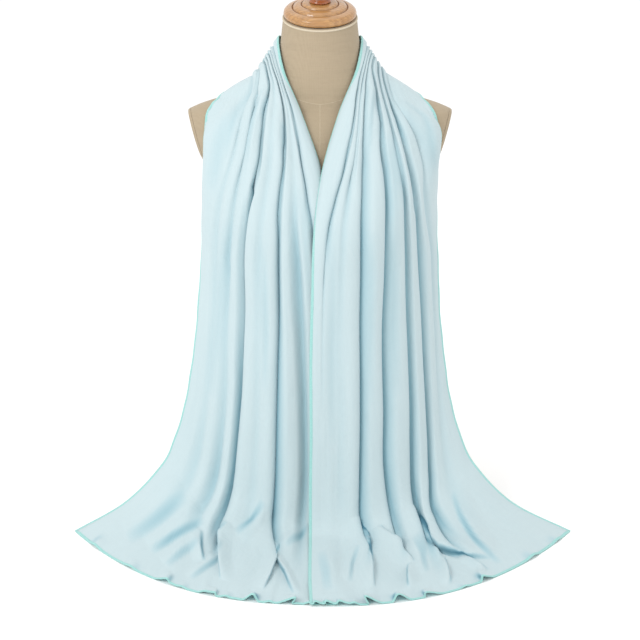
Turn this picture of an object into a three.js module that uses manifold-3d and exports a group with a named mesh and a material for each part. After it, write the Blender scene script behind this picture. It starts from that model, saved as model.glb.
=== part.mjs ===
// A long jersey headscarf hung round the neck of a limbless dress form that stands on a table.
// Both ends fall in front over the bust, reach the table and fan out on it; behind the neck the
// cloth is gathered into a soft collar that lies on the upper back.
// Millimetres, +Z up. The origin is on the table, under the middle of the form.
// -Y is the front. Left and right are the viewer's, seen from the front.

import * as THREE from 'three';
import { mergeVertices } from 'three/addons/utils/BufferGeometryUtils.js';
import Module from 'manifold-3d';

const wasm = await Module();
wasm.setup();

// Driving dimensions
const CLOTH = 1.2;            // thickness of the jersey wall
const PART_GAP = 0.3;         // between touching pieces
const SKIN_CLEARANCE = 3.1;   // the cloth's middle to the form's surface
const BOARD_HEIGHT = 12;      // plywood board under the form
const NECK_TOP = 660;         // middle of the sloping neck top
const NECK_TOP_RADIUS = 47.5;
const NECK_TILT = THREE.MathUtils.degToRad(14.8);   // the neck top slopes down to the front
const TILT_STARTS = 596;      // rings of the neck begin to slope here
const NECK_SIDE_AT = 92;      // along the cloth: where the nape stretch ends and the falls begin
const HEM_AT = 950;           // along the cloth: half its hanging length
const PANEL_CROWN = 0.09;     // a panel between two folds bows out by this share of its width
const CROWN_LIMIT = 5;
const LAP_SHARE = 0.2;        // share of the right end that lies on the left one or comes down from it
const FOLD_LEAN = 0.22;       // the bottom of a fold leans sideways by this share of its depth
const BUST = { x: 78, z: 408, rise: 13, spreadX: 44, spreadZ: 46 };
const ARM_PLATE = { x: 162.5, z: 503.5, slope: 16, below: 33, above: 70, thick: 4 };

// Tables: one row for each section, with named columns
const table = (columns, rows) => rows.map((row) =>
  Object.fromEntries(columns.map((name, i) => [name, row[i]])));

// Level sections of the form: half its width, its front and back, and how square it is
const FORM = table(
  ['z', 'half', 'front', 'back', 'square'], [
    [BOARD_HEIGHT + PART_GAP, 152, -84, 104, 2.3],
    [34, 160, -90, 112, 2.3],
    [80, 161, -92, 112, 2.3],
    [140, 149, -88, 98, 2.2],
    [195, 126, -82, 80, 2.2],
    [235, 116, -80, 72, 2.2],
    [280, 121, -86, 76, 2.2],
    [330, 133, -96, 86, 2.2],
    [370, 141, -106, 92, 2.25],
    [408, 146, -112, 95, 2.3],
    [445, 149, -105, 96, 2.4],
    [470, 152.3, -95, 92, 2.4],
    [490, 163.5, -86, 88, 2.3],
    [508, 173, -78, 84, 2.2],
    [524, 177, -70, 77, 2.1],
    [536, 175.5, -63, 69, 2.05],
    [545, 160, -57, 62, 2.0],
    [554, 133, -55, 57, 2.0],
    [564, 98, -54, 55, 2.0],
    [576, 76, -54, 53, 2.0],
    [590, 61, -54, 52, 2.0],
    [606, 55, -53, 51, 2.0],
    [625, 51.5, -51, 49, 2.0],
    [NECK_TOP, NECK_TOP_RADIUS, -49, 46, 2.0],
  ]);

// The cloth's route. `at` runs along the cloth from the middle of the nape. A row gives its
// inner edge, its outer edge, how the cloth bows between them in y and z, and how far the bunched
// folds stand off in the middle. `lap` lifts the inner edge where it lies on the other end. x is
// measured outwards on the row's own side, so an inner edge below zero passes under or over it.
const ROUTE_COLUMNS = [
  'at', 'innerX', 'innerY', 'innerZ', 'outerX', 'outerY', 'outerZ', 'bowY', 'bowZ', 'raise', 'lap'];
const BACK_ROUTE = [
  [0, 0, 62, 630, 0, 108, 440, 0.62, 1.0, 8, 0],
  [46, 43, 42, 627, 84, 98, 480, 0.72, 0.95, 7, 0],
  [NECK_SIDE_AT, 53.5, 2, 632, 122, 12, 557, 1.0, 0.57, 1, 0],
];
const LEFT_ROUTE = table(ROUTE_COLUMNS, [
  ...BACK_ROUTE,
  [140, 46, -40, 596, 140, -22, 541, 1.2, 0.66, 5, 0],
  [205, 24, -64, 545, 149, -44, 515, 2.2, 1.1, 12, 0],
  [278, -2, -98, 475, 150, -54, 478, 2.6, 1.0, 9, 0],
  [350, -13, -133, 405, 152, -56, 430, 2.8, 1.0, 3, 0],
  [430, -20, -139, 325, 155, -56, 362, 2.7, 1.0, 0, 0],
  [515, -22, -141, 240, 161, -57, 288, 2.6, 1.0, 0, 0],
  [615, -22, -143, 140, 171, -61, 205, 2.6, 1.2, 0, 0],
  [695, -22, -150, 62, 183, -66, 146, 2.6, 1.5, 0, 0],
  [750, -22, -166, 18, 195, -72, 108, 2.6, 1.9, 0, 0],
  [802, -22, -206, 6, 212, -80, 74, 2.6, 2.4, 0, 0],
  [872, -22, -282, 1.2, 259, -101, 29, 2.6, 3.4, 0, 0],
  [HEM_AT, -22, -357, 0.4, 324, -134, 0.4, 2.65, 3.0, 0, 0],
]);
const RIGHT_ROUTE = table(ROUTE_COLUMNS, [
  ...BACK_ROUTE,
  [140, 46, -40, 596, 142, -22, 542, 1.2, 0.66, 5, 0],
  [205, 24, -67, 545, 156, -44, 516, 2.2, 1.1, 12, 0],
  [278, 2, -107, 475, 152, -54, 478, 2.6, 1.0, 13, 0],
  [350, -8, -145, 405, 151, -56, 430, 2.8, 1.0, 5, 0],
  [430, -11, -150, 325, 154, -56, 362, 2.7, 1.0, 0, 0],
  [515, -13, -152, 240, 158, -57, 288, 2.6, 1.0, 0, 0],
  [615, -13, -154, 140, 167, -62, 205, 2.6, 1.2, 0, 0],
  [695, -14, -161, 62, 178, -68, 146, 2.6, 1.5, 0, 0],
  [750, -14, -177, 18, 190, -74, 108, 2.6, 1.9, 0, 3],
  [802, -14, -212, 6, 208, -83, 74, 2.6, 2.4, 0, 5],
  [872, -14, -288, 1.2, 256, -103, 29, 2.6, 3.4, 0, 3.4],
  [HEM_AT, -12, -361, 0.4, 331, -134, 0.4, 2.5, 3.0, 0, 3],
]);

// Folds run the whole length. Places are shares of the way from the inner to the outer edge,
// depths are millimetres into the cloth; below zero the fold stands up as a crest.
const FOLD_COLUMNS = ['at', 'f1', 'f2', 'f3', 'f4', 'f5', 'f6', 'f7'];
const NAPE_PLACES = [0, 0.10, 0.22, 0.36, 0.48, 0.62, 0.74, 0.88];
const NAPE_DEPTHS = [0, 9, 14, 12, 15, 13, 14, 8];
const LEFT_PLACES = table(FOLD_COLUMNS, [
  NAPE_PLACES,
  [46, 0.12, 0.25, 0.36, 0.51, 0.62, 0.77, 0.87],
  [NECK_SIDE_AT, 0.10, 0.22, 0.35, 0.48, 0.61, 0.75, 0.88],
  [140, 0.07, 0.14, 0.22, 0.34, 0.46, 0.63, 0.82],
  [205, 0.08, 0.15, 0.235, 0.33, 0.42, 0.59, 0.76],
  [278, 0.15, 0.24, 0.34, 0.46, 0.57, 0.71, 0.85],
  [350, 0.14, 0.31, 0.445, 0.55, 0.65, 0.79, 0.90],
  [430, 0.12, 0.32, 0.485, 0.60, 0.715, 0.83, 0.92],
  [515, 0.12, 0.29, 0.505, 0.635, 0.755, 0.85, 0.93],
  [615, 0.11, 0.25, 0.50, 0.63, 0.755, 0.855, 0.935],
  [695, 0.10, 0.24, 0.48, 0.61, 0.735, 0.85, 0.93],
  [750, 0.10, 0.23, 0.435, 0.58, 0.715, 0.84, 0.92],
  [802, 0.09, 0.20, 0.36, 0.51, 0.67, 0.80, 0.90],
  [872, 0.08, 0.17, 0.29, 0.42, 0.54, 0.69, 0.85],
  [HEM_AT, 0.07, 0.14, 0.24, 0.36, 0.475, 0.60, 0.78],
]);
const LEFT_DEPTHS = table(FOLD_COLUMNS, [
  NAPE_DEPTHS,
  [46, 11, 13, 10, 15, 11, 14, 6],
  [NECK_SIDE_AT, 7, 8, 9, 9, 9, 8, 6],
  [140, 8, 8, 13, 11, 13, 11, 7],
  [205, 9, 7, 17, 9, 15, 12, 6],
  [278, 9, 4, 18, 5, 13, 10, 5],
  [350, 4, 7, 15, 2, 8, 6, 3],
  [430, 2, 12, 22, 2, 12, 4, 2],
  [515, 1, 16, 26, 3, 17, 3, 2],
  [615, 0, 19, 28, 3, 24, 4, 3],
  [695, 0, 19, 27, 3, 27, 6, 4],
  [750, 0, 12, 18, 2, 23, 8, 4],
  [802, 0, 5, 7, 2, 12, 6, 3],
  [872, 0, 0, -3, -1, -3, -4, 0],
  [HEM_AT, 0, -3, -8, -3, -7, -6, -1],
]);
const RIGHT_PLACES = table(FOLD_COLUMNS, [
  NAPE_PLACES,
  [46, 0.11, 0.22, 0.38, 0.49, 0.64, 0.75, 0.90],
  [NECK_SIDE_AT, 0.10, 0.22, 0.35, 0.48, 0.61, 0.75, 0.88],
  [140, 0.06, 0.12, 0.18, 0.34, 0.45, 0.58, 0.86],
  [205, 0.13, 0.19, 0.25, 0.44, 0.515, 0.60, 0.87],
  [278, 0.19, 0.27, 0.355, 0.545, 0.65, 0.755, 0.92],
  [350, 0.11, 0.25, 0.38, 0.585, 0.75, 0.875, 0.95],
  [430, 0.10, 0.27, 0.415, 0.61, 0.77, 0.895, 0.955],
  [515, 0.10, 0.28, 0.435, 0.625, 0.78, 0.895, 0.96],
  [615, 0.10, 0.26, 0.415, 0.605, 0.795, 0.895, 0.955],
  [695, 0.10, 0.24, 0.385, 0.58, 0.795, 0.885, 0.95],
  [750, 0.10, 0.21, 0.325, 0.55, 0.78, 0.875, 0.945],
  [802, 0.09, 0.17, 0.25, 0.51, 0.73, 0.86, 0.93],
  [872, 0.07, 0.13, 0.19, 0.43, 0.62, 0.76, 0.89],
  [HEM_AT, 0.06, 0.13, 0.23, 0.34, 0.45, 0.63, 0.81],
]);
const RIGHT_DEPTHS = table(FOLD_COLUMNS, [
  NAPE_DEPTHS,
  [46, 9, 14, 14, 12, 14, 11, 9],
  [NECK_SIDE_AT, 7, 8, 9, 9, 9, 8, 6],
  [140, 7, 6, 8, 12, 9, 11, 7],
  [205, 12, 6, 9, 16, 8, 15, 7],
  [278, 14, 7, 12, 17, 8, 17, 6],
  [350, 10, 4, 14, 12, 9, 13, 3],
  [430, 4, 2, 23, 15, 11, 9, 2],
  [515, 1, 2, 29, 19, 12, 8, 2],
  [615, 0, 1, 31, 20, 15, 8, 2],
  [695, 0, 0, 27, 20, 20, 8, 2],
  [750, 0, 0, 16, 16, 20, 8, 2],
  [802, 0, 0, 6, 6, 14, 7, 2],
  [872, 0, 0, -2, -3, 2, 3, 0],
  [HEM_AT, 0, -2, -6, -8, -7, -6, -4],
]);

// Half the width of a fold's mouth along the cloth
const MOUTH = table(['at', 'half'], [
  [0, 8.5], [NECK_SIDE_AT, 4.6], [140, 4.8], [205, 5.6], [278, 6.6], [350, 7.4],
  [515, 8.4], [695, 8.8], [802, 10], [872, 11], [HEM_AT, 9],
]);

// How many strips of the wall lie between the rows of the route
const NAPE_STRIPS = [3, 4];
const FALL_STRIPS = [3, 2, 2, 2, 2, 1, 1, 2, 2, 2, 2, 3];
const FOLD_POINTS = [-1, -0.5, 0, 0.5, 1];   // across a fold's mouth
const FOLDS = 7;

// Smooth curves through table columns
function span(rows, at) {
  let i = 0;
  while (i < rows.length - 2 && at > rows[i + 1].at) i += 1;
  return i;
}

// The cloth crosses the middle of the nape level, so only x keeps its slope there
function slope(rows, column, i) {
  if (i === 0 && !column.endsWith('X')) return 0;
  const a = rows[Math.max(i - 1, 0)];
  const b = rows[Math.min(i + 1, rows.length - 1)];
  return (b[column] - a[column]) / (b.at - a.at);
}

function gentleSlope(rows, column, i) {
  if (i === 0) return 0;
  if (i === rows.length - 1) return slope(rows, column, i);
  const before = (rows[i][column] - rows[i - 1][column]) / (rows[i].at - rows[i - 1].at);
  const after = (rows[i + 1][column] - rows[i][column]) / (rows[i + 1].at - rows[i].at);
  return before * after <= 0 ? 0 : 2 * before * after / (before + after);
}

function along(rows, column, at, slopeAt = slope) {
  const i = span(rows, at);
  const a = rows[i];
  const b = rows[i + 1];
  const reach = b.at - a.at;
  const t = (at - a.at) / reach;
  const startSlope = slopeAt(rows, column, i) * reach;
  const endSlope = slopeAt(rows, column, i + 1) * reach;
  const t2 = t * t;
  const t3 = t2 * t;
  return a[column] * (2 * t3 - 3 * t2 + 1) + startSlope * (t3 - 2 * t2 + t)
    + b[column] * (3 * t2 - 2 * t3) + endSlope * (t3 - t2);
}

const LEFT = { side: -1, route: LEFT_ROUTE, places: LEFT_PLACES, depths: LEFT_DEPTHS };
const RIGHT = { side: 1, route: RIGHT_ROUTE, places: RIGHT_PLACES, depths: RIGHT_DEPTHS };

// The form's surface
const formRows = FORM.map((row) => ({ ...row, at: row.z }));

function formSection(z) {
  const level = THREE.MathUtils.clamp(z, FORM[0].z, NECK_TOP);
  const read = (column) => along(formRows, column, level, gentleSlope);
  return { half: read('half'), front: read('front'), back: read('back'), square: read('square') };
}

function bustRise(x, z) {
  const across = (Math.abs(x) - BUST.x) / BUST.spreadX;
  const up = (z - BUST.z) / BUST.spreadZ;
  return BUST.rise * Math.exp(-(across * across + up * up) / 2);
}

// Below 1 inside the form, above 1 outside it
function formLevel(point) {
  const section = formSection(point.z);
  const middle = (section.front + section.back) / 2;
  const depth = (section.back - section.front) / 2;
  const reach = point.y < middle ? depth + bustRise(point.x, point.z) : depth;
  const power = section.square;
  return Math.pow(
    Math.pow(Math.abs(point.x) / section.half, power)
    + Math.pow(Math.abs(point.y - middle) / reach, power), 1 / power);
}

// How far a point is from the form's surface, and the way straight out of it
function fromForm(point) {
  const step = 1.5;
  const probe = new THREE.Vector3();
  const away = new THREE.Vector3(...['x', 'y', 'z'].map((axis) => {
    probe.copy(point)[axis] += step;
    const ahead = formLevel(probe);
    probe.copy(point)[axis] -= step;
    return (ahead - formLevel(probe)) / (2 * step);
  }));
  const steepness = Math.max(away.length(), 1e-4);
  return { distance: (formLevel(point) - 1) / steepness, away: away.divideScalar(steepness) };
}

function clearOfForm(point) {
  for (let turn = 0; turn < 4; turn += 1) {
    const { distance, away } = fromForm(point);
    if (distance > SKIN_CLEARANCE) break;
    point.addScaledVector(away, Math.min(SKIN_CLEARANCE - distance + 0.02, 25));
  }
  return point;
}

// The smooth sheet that the folds are pressed into: `share` runs from the inner edge to the outer
function sheetPoint(half, share, at) {
  const read = (column) => along(half.route, column, at);
  const s = THREE.MathUtils.clamp(share, 0, 1);
  const beyond = share - s;
  const x = read('innerX') + (read('outerX') - read('innerX')) * share;
  const y = read('innerY') + (read('outerY') - read('innerY')) * (Math.pow(s, read('bowY')) + beyond);
  const z = read('innerZ') + (read('outerZ') - read('innerZ')) * (Math.pow(s, read('bowZ')) + beyond);
  const lapped = 1 - THREE.MathUtils.smoothstep(share, LAP_SHARE / 2, LAP_SHARE);
  return new THREE.Vector3(half.side * x, y, z + read('lap') * lapped);
}

function sheetFrame(half, share, at) {
  const ds = 0.01;
  const da = 2;
  const lowShare = Math.max(share - ds, 0.004);
  const highShare = Math.min(share + ds, 1);
  const lowAt = Math.max(at - da, 0);
  const highAt = Math.min(at + da, HEM_AT);
  const across = sheetPoint(half, highShare, at).sub(sheetPoint(half, lowShare, at)).normalize();
  const down = sheetPoint(half, share, highAt).sub(sheetPoint(half, share, lowAt)).normalize();
  const out = new THREE.Vector3().crossVectors(across, down).multiplyScalar(-half.side).normalize();
  return { across, out };
}

// Columns of the wall: the five points of each fold and one in the middle of each panel
function columnsOfHalf() {
  const columns = [{ fold: -1, edge: 'inner' }, { panel: 0, v: 0.5 }];
  for (let fold = 0; fold < FOLDS; fold += 1) {
    for (const q of FOLD_POINTS) columns.push({ fold, q });
    columns.push({ panel: fold + 1, v: 0.5 });
  }
  columns.push({ fold: FOLDS, edge: 'outer' });
  return columns;
}

// The sheet with its bunched middle standing off, and the way out of it
function bunched(half, share, at) {
  const { across, out } = sheetFrame(half, share, at);
  const middle = Math.sqrt(Math.max(4 * share * (1 - share), 0));
  const stand = along(half.route, 'raise', at, gentleSlope) * middle;
  return { point: sheetPoint(half, share, at).addScaledVector(out, stand), across, out };
}

// A fold can't be pressed deeper than the form behind it or the table under it allows
function roomUnder(half, share, at) {
  const { point, out } = bunched(half, share, at);
  const toForm = fromForm(point).distance - SKIN_CLEARANCE;
  const toTable = (point.z - CLOTH / 2) / Math.max(out.z, 0.05);
  return Math.max(Math.min(toForm, toTable), 0.05);
}

// Where each fold's mouth begins and ends at this row, as shares
function mouths(half, at) {
  const width = sheetPoint(half, 1, at).distanceTo(sheetPoint(half, 0, at));
  const wanted = along(MOUTH, 'half', at, gentleSlope) / width;
  const places = [0];
  for (let i = 1; i <= FOLDS; i += 1) places.push(along(half.places, `f${i}`, at, gentleSlope));
  places.push(1);
  return places.slice(1, -1).map((place, i) => {
    const reach = Math.min(wanted, 0.42 * Math.min(place - places[i], places[i + 2] - place));
    const wish = along(half.depths, `f${i + 1}`, at, gentleSlope);
    const depth = wish > 0 ? wish / Math.hypot(1, wish / roomUnder(half, place, at)) : wish;
    return { place, reach, depth };
  });
}

function placeOfColumn(column, folds) {
  if (column.edge === 'inner') return { share: 0, depth: 0, lean: 0 };
  if (column.edge === 'outer') return { share: 1, depth: 0, lean: 0 };
  if (column.q !== undefined) {
    const { place, reach, depth } = folds[column.fold];
    const sink = (1 + Math.cos(Math.PI * column.q)) / 2;
    return { share: place + column.q * reach, depth: depth * sink, lean: FOLD_LEAN * Math.abs(depth) * sink };
  }
  const before = folds[column.panel - 1];
  const after = folds[column.panel];
  const start = before ? before.place + before.reach : 0;
  const end = after ? after.place - after.reach : 1;
  return { share: start + (end - start) * column.v, depth: 0, lean: 0, panel: end - start, v: column.v };
}

function clothPoint(half, column, at, folds) {
  const { share, depth, lean, panel = 0, v = 0 } = placeOfColumn(column, folds);
  const { point, across, out } = bunched(half, share, at);
  const width = sheetPoint(half, 1, at).distanceTo(sheetPoint(half, 0, at));
  const hanging = THREE.MathUtils.smoothstep(point.z, 4, 40);
  const crown = Math.min(PANEL_CROWN * panel * width, CROWN_LIMIT) * 4 * v * (1 - v) * hanging;
  point.addScaledVector(out, crown - depth).addScaledVector(across, -lean);
  return clearOfForm(point);
}

// Rows of a stretch, as places along the cloth
function rowsAlong(route, strips, firstSpan) {
  const rows = [];
  strips.forEach((count, i) => {
    const start = route[firstSpan + i].at;
    const end = route[firstSpan + i + 1].at;
    for (let k = 0; k < count; k += 1) rows.push(start + (end - start) * k / count);
  });
  rows.push(route[firstSpan + strips.length].at);
  return rows;
}

// The way out of the cloth at a grid point, made longer where the cloth turns sharply, so that the
// wall keeps its thickness round the bottom of a fold
function halfThickness(row, c, above, below) {
  const here = row[c];
  const arriving = new THREE.Vector3().subVectors(here, row[c - 1] ?? here).normalize();
  const leaving = new THREE.Vector3().subVectors(row[c + 1] ?? here, here).normalize();
  const bisector = arriving.add(leaving);
  const turned = row[c - 1] && row[c + 1] ? Math.max(bisector.length() / 2, 0.35) : 1;
  const down = new THREE.Vector3().subVectors(below[c], above[c]);
  return bisector.cross(down).setLength(CLOTH / 2 / turned);
}

// A closed wall round a grid of middle points, row by row. `before` and `after` are the rows past
// a seam: they only turn the wall's end, so that both sides of the seam stay parallel.
function wallGeometry(grid, before = grid[0], after = grid.at(-1)) {
  const rowCount = grid.length;
  const columnCount = grid[0].length;
  const vertices = [];
  const faces = [];
  for (const sign of [1, -1]) {
    for (let r = 0; r < rowCount; r += 1) {
      for (let c = 0; c < columnCount; c += 1) {
        const out = halfThickness(grid[r], c, grid[r - 1] ?? before, grid[r + 1] ?? after);
        const point = grid[r][c].clone().addScaledVector(out, sign);
        const floor = sign * out.z > 0 ? CLOTH : 0;
        vertices.push(point.x, point.y, Math.max(point.z, floor));
      }
    }
  }
  const at = (layer, r, c) => layer * rowCount * columnCount + r * columnCount + c;
  const quad = (a, b, c, d) => faces.push(a, b, c, a, c, d);
  for (let r = 0; r < rowCount - 1; r += 1) {
    for (let c = 0; c < columnCount - 1; c += 1) {
      quad(at(0, r, c), at(0, r, c + 1), at(0, r + 1, c + 1), at(0, r + 1, c));
      quad(at(1, r, c), at(1, r + 1, c), at(1, r + 1, c + 1), at(1, r, c + 1));
    }
  }
  const rim = (cells) => {
    for (let i = 0; i < cells.length - 1; i += 1) {
      const [r0, c0] = cells[i];
      const [r1, c1] = cells[i + 1];
      quad(at(0, r0, c0), at(1, r0, c0), at(1, r1, c1), at(0, r1, c1));
    }
  };
  const all = (count) => [...Array(count).keys()];
  rim(all(columnCount).map((c) => [0, c]));
  rim(all(rowCount).map((r) => [r, columnCount - 1]));
  rim(all(columnCount).reverse().map((c) => [rowCount - 1, c]));
  rim(all(rowCount).reverse().map((r) => [r, 0]));
  const geometry = new THREE.BufferGeometry();
  geometry.setAttribute('position', new THREE.Float32BufferAttribute(vertices, 3));
  geometry.setIndex(faces);
  return geometry;
}

function line(half, at) {
  const folds = mouths(half, at);
  return columnsOfHalf().map((column) => clothPoint(half, column, at, folds));
}

const NAPE_ROWS = rowsAlong(LEFT_ROUTE, NAPE_STRIPS, 0);
const FALL_ROWS = rowsAlong(LEFT_ROUTE, FALL_STRIPS, NAPE_STRIPS.length);

function fallGeometry(half) {
  const rows = [FALL_ROWS[0] + PART_GAP, ...FALL_ROWS.slice(1)];
  const grid = [NAPE_ROWS.at(-2), ...rows].map((at) => line(half, at));
  if (half.side < 0) grid.forEach((row) => row.reverse());
  return wallGeometry(grid.slice(1), grid[0]);
}

function napeGeometry() {
  const rows = [...NAPE_ROWS.slice(0, -1), NAPE_ROWS.at(-1) - PART_GAP];
  const grid = [
    ...rows.slice(1).reverse().map((at) => line(LEFT, at)),
    ...rows.map((at) => line(RIGHT, at)),
  ];
  return wallGeometry(grid, line(LEFT, FALL_ROWS[1]), line(RIGHT, FALL_ROWS[1]));
}

// The form: rings from the board to the sloping neck top
const RING_POINTS = 36;
const FORM_LEVELS = [
  12.3, 26, 50, 84, 120, 154, 186, 214, 242, 274, 306, 336, 362, 386, 408, 430, 450, 470,
  490, 508, 522, 532, 541, 549, 557, 566, 576, 587, 600, 618, 638, NECK_TOP,
];

function ringPoint(z, turn) {
  const section = formSection(z);
  const middle = (section.front + section.back) / 2;
  const depth = (section.back - section.front) / 2;
  const power = 2 / section.square;
  const cos = Math.cos(turn);
  const sin = Math.sin(turn);
  const x = section.half * Math.sign(cos) * Math.pow(Math.abs(cos), power);
  const reach = sin < 0 ? depth + bustRise(x, z) : depth;
  const y = middle + reach * Math.sign(sin) * Math.pow(Math.abs(sin), power);
  const rise = THREE.MathUtils.clamp((z - TILT_STARTS) / (NECK_TOP - TILT_STARTS), 0, 1);
  return new THREE.Vector3(x, y, z + (y - middle) * Math.tan(NECK_TILT * rise));
}

function formGeometry() {
  const vertices = [];
  const faces = [];
  const ring = (level, i) => level * RING_POINTS + (i % RING_POINTS);
  FORM_LEVELS.forEach((z) => {
    for (let i = 0; i < RING_POINTS; i += 1) {
      vertices.push(...ringPoint(z, 2 * Math.PI * (i + 0.5) / RING_POINTS).toArray());
    }
  });
  for (let level = 0; level < FORM_LEVELS.length - 1; level += 1) {
    for (let i = 0; i < RING_POINTS; i += 1) {
      const [a, b] = [ring(level, i), ring(level, i + 1)];
      const [c, d] = [ring(level + 1, i + 1), ring(level + 1, i)];
      faces.push(a, b, c, a, c, d);
    }
  }
  const top = FORM_LEVELS.length - 1;
  for (let i = 1; i < RING_POINTS - 1; i += 1) {
    faces.push(ring(0, 0), ring(0, i + 1), ring(0, i));
    faces.push(ring(top, 0), ring(top, i), ring(top, i + 1));
  }
  const geometry = new THREE.BufferGeometry();
  geometry.setAttribute('position', new THREE.Float32BufferAttribute(vertices, 3));
  geometry.setIndex(faces);
  return geometry;
}

// Booleans
function solidOf(geometry) {
  const bare = geometry.clone();
  bare.deleteAttribute('normal');
  bare.deleteAttribute('uv');
  const merged = mergeVertices(bare, 1e-4);
  return new wasm.Manifold(new wasm.Mesh({
    numProp: 3,
    vertProperties: new Float32Array(merged.attributes.position.array),
    triVerts: new Uint32Array(merged.index.array),
  }));
}

function geometryOf(solid) {
  const mesh = solid.getMesh();
  const geometry = new THREE.BufferGeometry();
  geometry.setAttribute('position', new THREE.Float32BufferAttribute(mesh.vertProperties, 3));
  geometry.setIndex([...mesh.triVerts]);
  return geometry;
}

// Each armhole is a flat cut that leans out towards the top, closed by a plate flush with the body.
// `from` and `to` are distances inwards from the plate's outer face, `trim` shortens the lower end.
function armBlock(side, from, to, trim = 0) {
  const tilt = THREE.MathUtils.degToRad(ARM_PLATE.slope);
  const out = new THREE.Vector3(side * Math.cos(tilt), 0, -Math.sin(tilt));
  const up = new THREE.Vector3(side * Math.sin(tilt), 0, Math.cos(tilt));
  const depth = new THREE.Vector3().crossVectors(out, up);
  const below = ARM_PLATE.below - trim;
  const block = new THREE.BoxGeometry(to - from, below + ARM_PLATE.above, 260);
  block.translate(-(from + to) / 2, (ARM_PLATE.above - below) / 2, 0);
  const basis = new THREE.Matrix4().makeBasis(out, up, depth);
  basis.setPosition(side * ARM_PLATE.x, 0, ARM_PLATE.z);
  return solidOf(block.applyMatrix4(basis));
}

function armPlate(body, side) {
  return body.intersect(armBlock(side, 0, ARM_PLATE.thick, PART_GAP));
}

function withArmholes(body) {
  return [-1, 1].reduce(
    (rest, side) => rest.subtract(armBlock(side, -40, ARM_PLATE.thick + PART_GAP)), body);
}

// Turned wood on the neck top
function onNeckTop(geometry, lift) {
  geometry.rotateX(Math.PI / 2);
  geometry.rotateX(NECK_TILT);
  const section = formSection(NECK_TOP);
  const middle = (section.front + section.back) / 2;
  geometry.translate(0, middle - Math.sin(NECK_TILT) * lift, NECK_TOP + Math.cos(NECK_TILT) * lift);
  return geometry;
}

const CAP_PROFILE = [
  [0, 0], [44.5, 0], [46.6, 1.6], [47.3, 4.6], [46.2, 8], [43.4, 10.6], [39.4, 12], [36.6, 12.3],
  [36.2, 11.3], [35.2, 11.3], [34.2, 13.6], [31, 15.4], [27, 16.2], [24.8, 16.4], [24.4, 15.5],
  [23.4, 15.5], [22.6, 17.6], [20.4, 18.8], [17.4, 19.2], [0, 19.2],
];
const KNOB_PROFILE = [
  [0, 0], [13.2, 0], [14.4, 1.4], [13.6, 3], [11.4, 4.6], [11.2, 6.6], [13.6, 9.6], [16, 13.6],
  [16.9, 18.4], [16.2, 23.2], [13.8, 27.6], [10, 31], [5.4, 33], [0, 33.6],
];
const CAP_HEIGHT = 19.2;

function turned(profile) {
  return new THREE.LatheGeometry(profile.map(([r, h]) => new THREE.Vector2(r, h)), 26);
}

function boardGeometry() {
  const outline = new THREE.Shape();
  outline.absellipse(0, 8, 150, 92, 0, 2 * Math.PI);
  return new THREE.ExtrudeGeometry(outline, {
    depth: BOARD_HEIGHT - 4, bevelThickness: 2, bevelSize: 2, bevelOffset: -2, bevelSegments: 2,
    curveSegments: 18,
  }).translate(0, 0, 2);
}

const jersey = () => new THREE.MeshStandardMaterial({ color: 0xbfdde4, roughness: 0.85, metalness: 0 });
const linen = () => new THREE.MeshStandardMaterial({ color: 0xc3ae91, roughness: 0.95, metalness: 0 });
const beech = () => new THREE.MeshStandardMaterial({ color: 0xc69763, roughness: 0.45, metalness: 0 });
const polished = () => new THREE.MeshStandardMaterial({ color: 0xa3592f, roughness: 0.3, metalness: 0 });

const group = new THREE.Group();

function add(name, geometry, material) {
  const mesh = new THREE.Mesh(geometry, material);
  mesh.name = name;
  group.add(mesh);
}

const body = solidOf(formGeometry());
add('form_torso', geometryOf(withArmholes(body)), linen());
add('form_arm_plate_left', geometryOf(armPlate(body, -1)), linen());
add('form_arm_plate_right', geometryOf(armPlate(body, 1)), linen());
add('form_base_board', boardGeometry(), beech());
add('form_neck_cap', onNeckTop(turned(CAP_PROFILE), PART_GAP), beech());
add('form_knob', onNeckTop(turned(KNOB_PROFILE), CAP_HEIGHT + 2 * PART_GAP), polished());
add('scarf_nape', napeGeometry(), jersey());
add('scarf_left_fall', fallGeometry(LEFT), jersey());
add('scarf_right_fall', fallGeometry(RIGHT), jersey());

export default group;
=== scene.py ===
"""A pale jersey headscarf hung round the neck of a limbless linen dress form, dressed in Blender.

Sizes in the tables are millimetres, as the CAD solids have them, and meshes are in metres.
+Z is up, -Y is the front, and left and right are the viewer's.
"""

import logging
import math
from dataclasses import dataclass, field
from enum import Enum

import bmesh
import bpy
import numpy as np
from mathutils import Matrix, Vector


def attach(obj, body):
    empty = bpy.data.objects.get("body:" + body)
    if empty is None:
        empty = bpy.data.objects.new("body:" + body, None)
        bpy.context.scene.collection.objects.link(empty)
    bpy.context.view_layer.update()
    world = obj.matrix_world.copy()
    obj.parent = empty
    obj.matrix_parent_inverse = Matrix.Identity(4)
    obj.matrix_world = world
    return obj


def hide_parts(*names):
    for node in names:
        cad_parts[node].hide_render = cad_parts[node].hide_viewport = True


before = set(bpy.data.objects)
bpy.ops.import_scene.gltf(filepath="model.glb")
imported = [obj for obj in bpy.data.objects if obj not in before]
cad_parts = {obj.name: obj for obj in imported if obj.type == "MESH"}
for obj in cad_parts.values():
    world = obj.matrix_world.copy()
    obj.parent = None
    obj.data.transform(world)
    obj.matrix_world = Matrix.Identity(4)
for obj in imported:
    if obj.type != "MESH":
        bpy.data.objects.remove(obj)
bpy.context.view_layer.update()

log = logging.getLogger("headscarf")
MM = 0.001

Triple = tuple[float, float, float]
Color = Triple
Rows = list[list[float]]


# Curves through short tables

def smoothstep(value: np.ndarray, low: float, high: float) -> np.ndarray:
    """Rises softly from 0 at low to 1 at high."""
    t = np.clip((value - low) / (high - low), 0.0, 1.0)
    return t * t * (3 - 2 * t)


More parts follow.
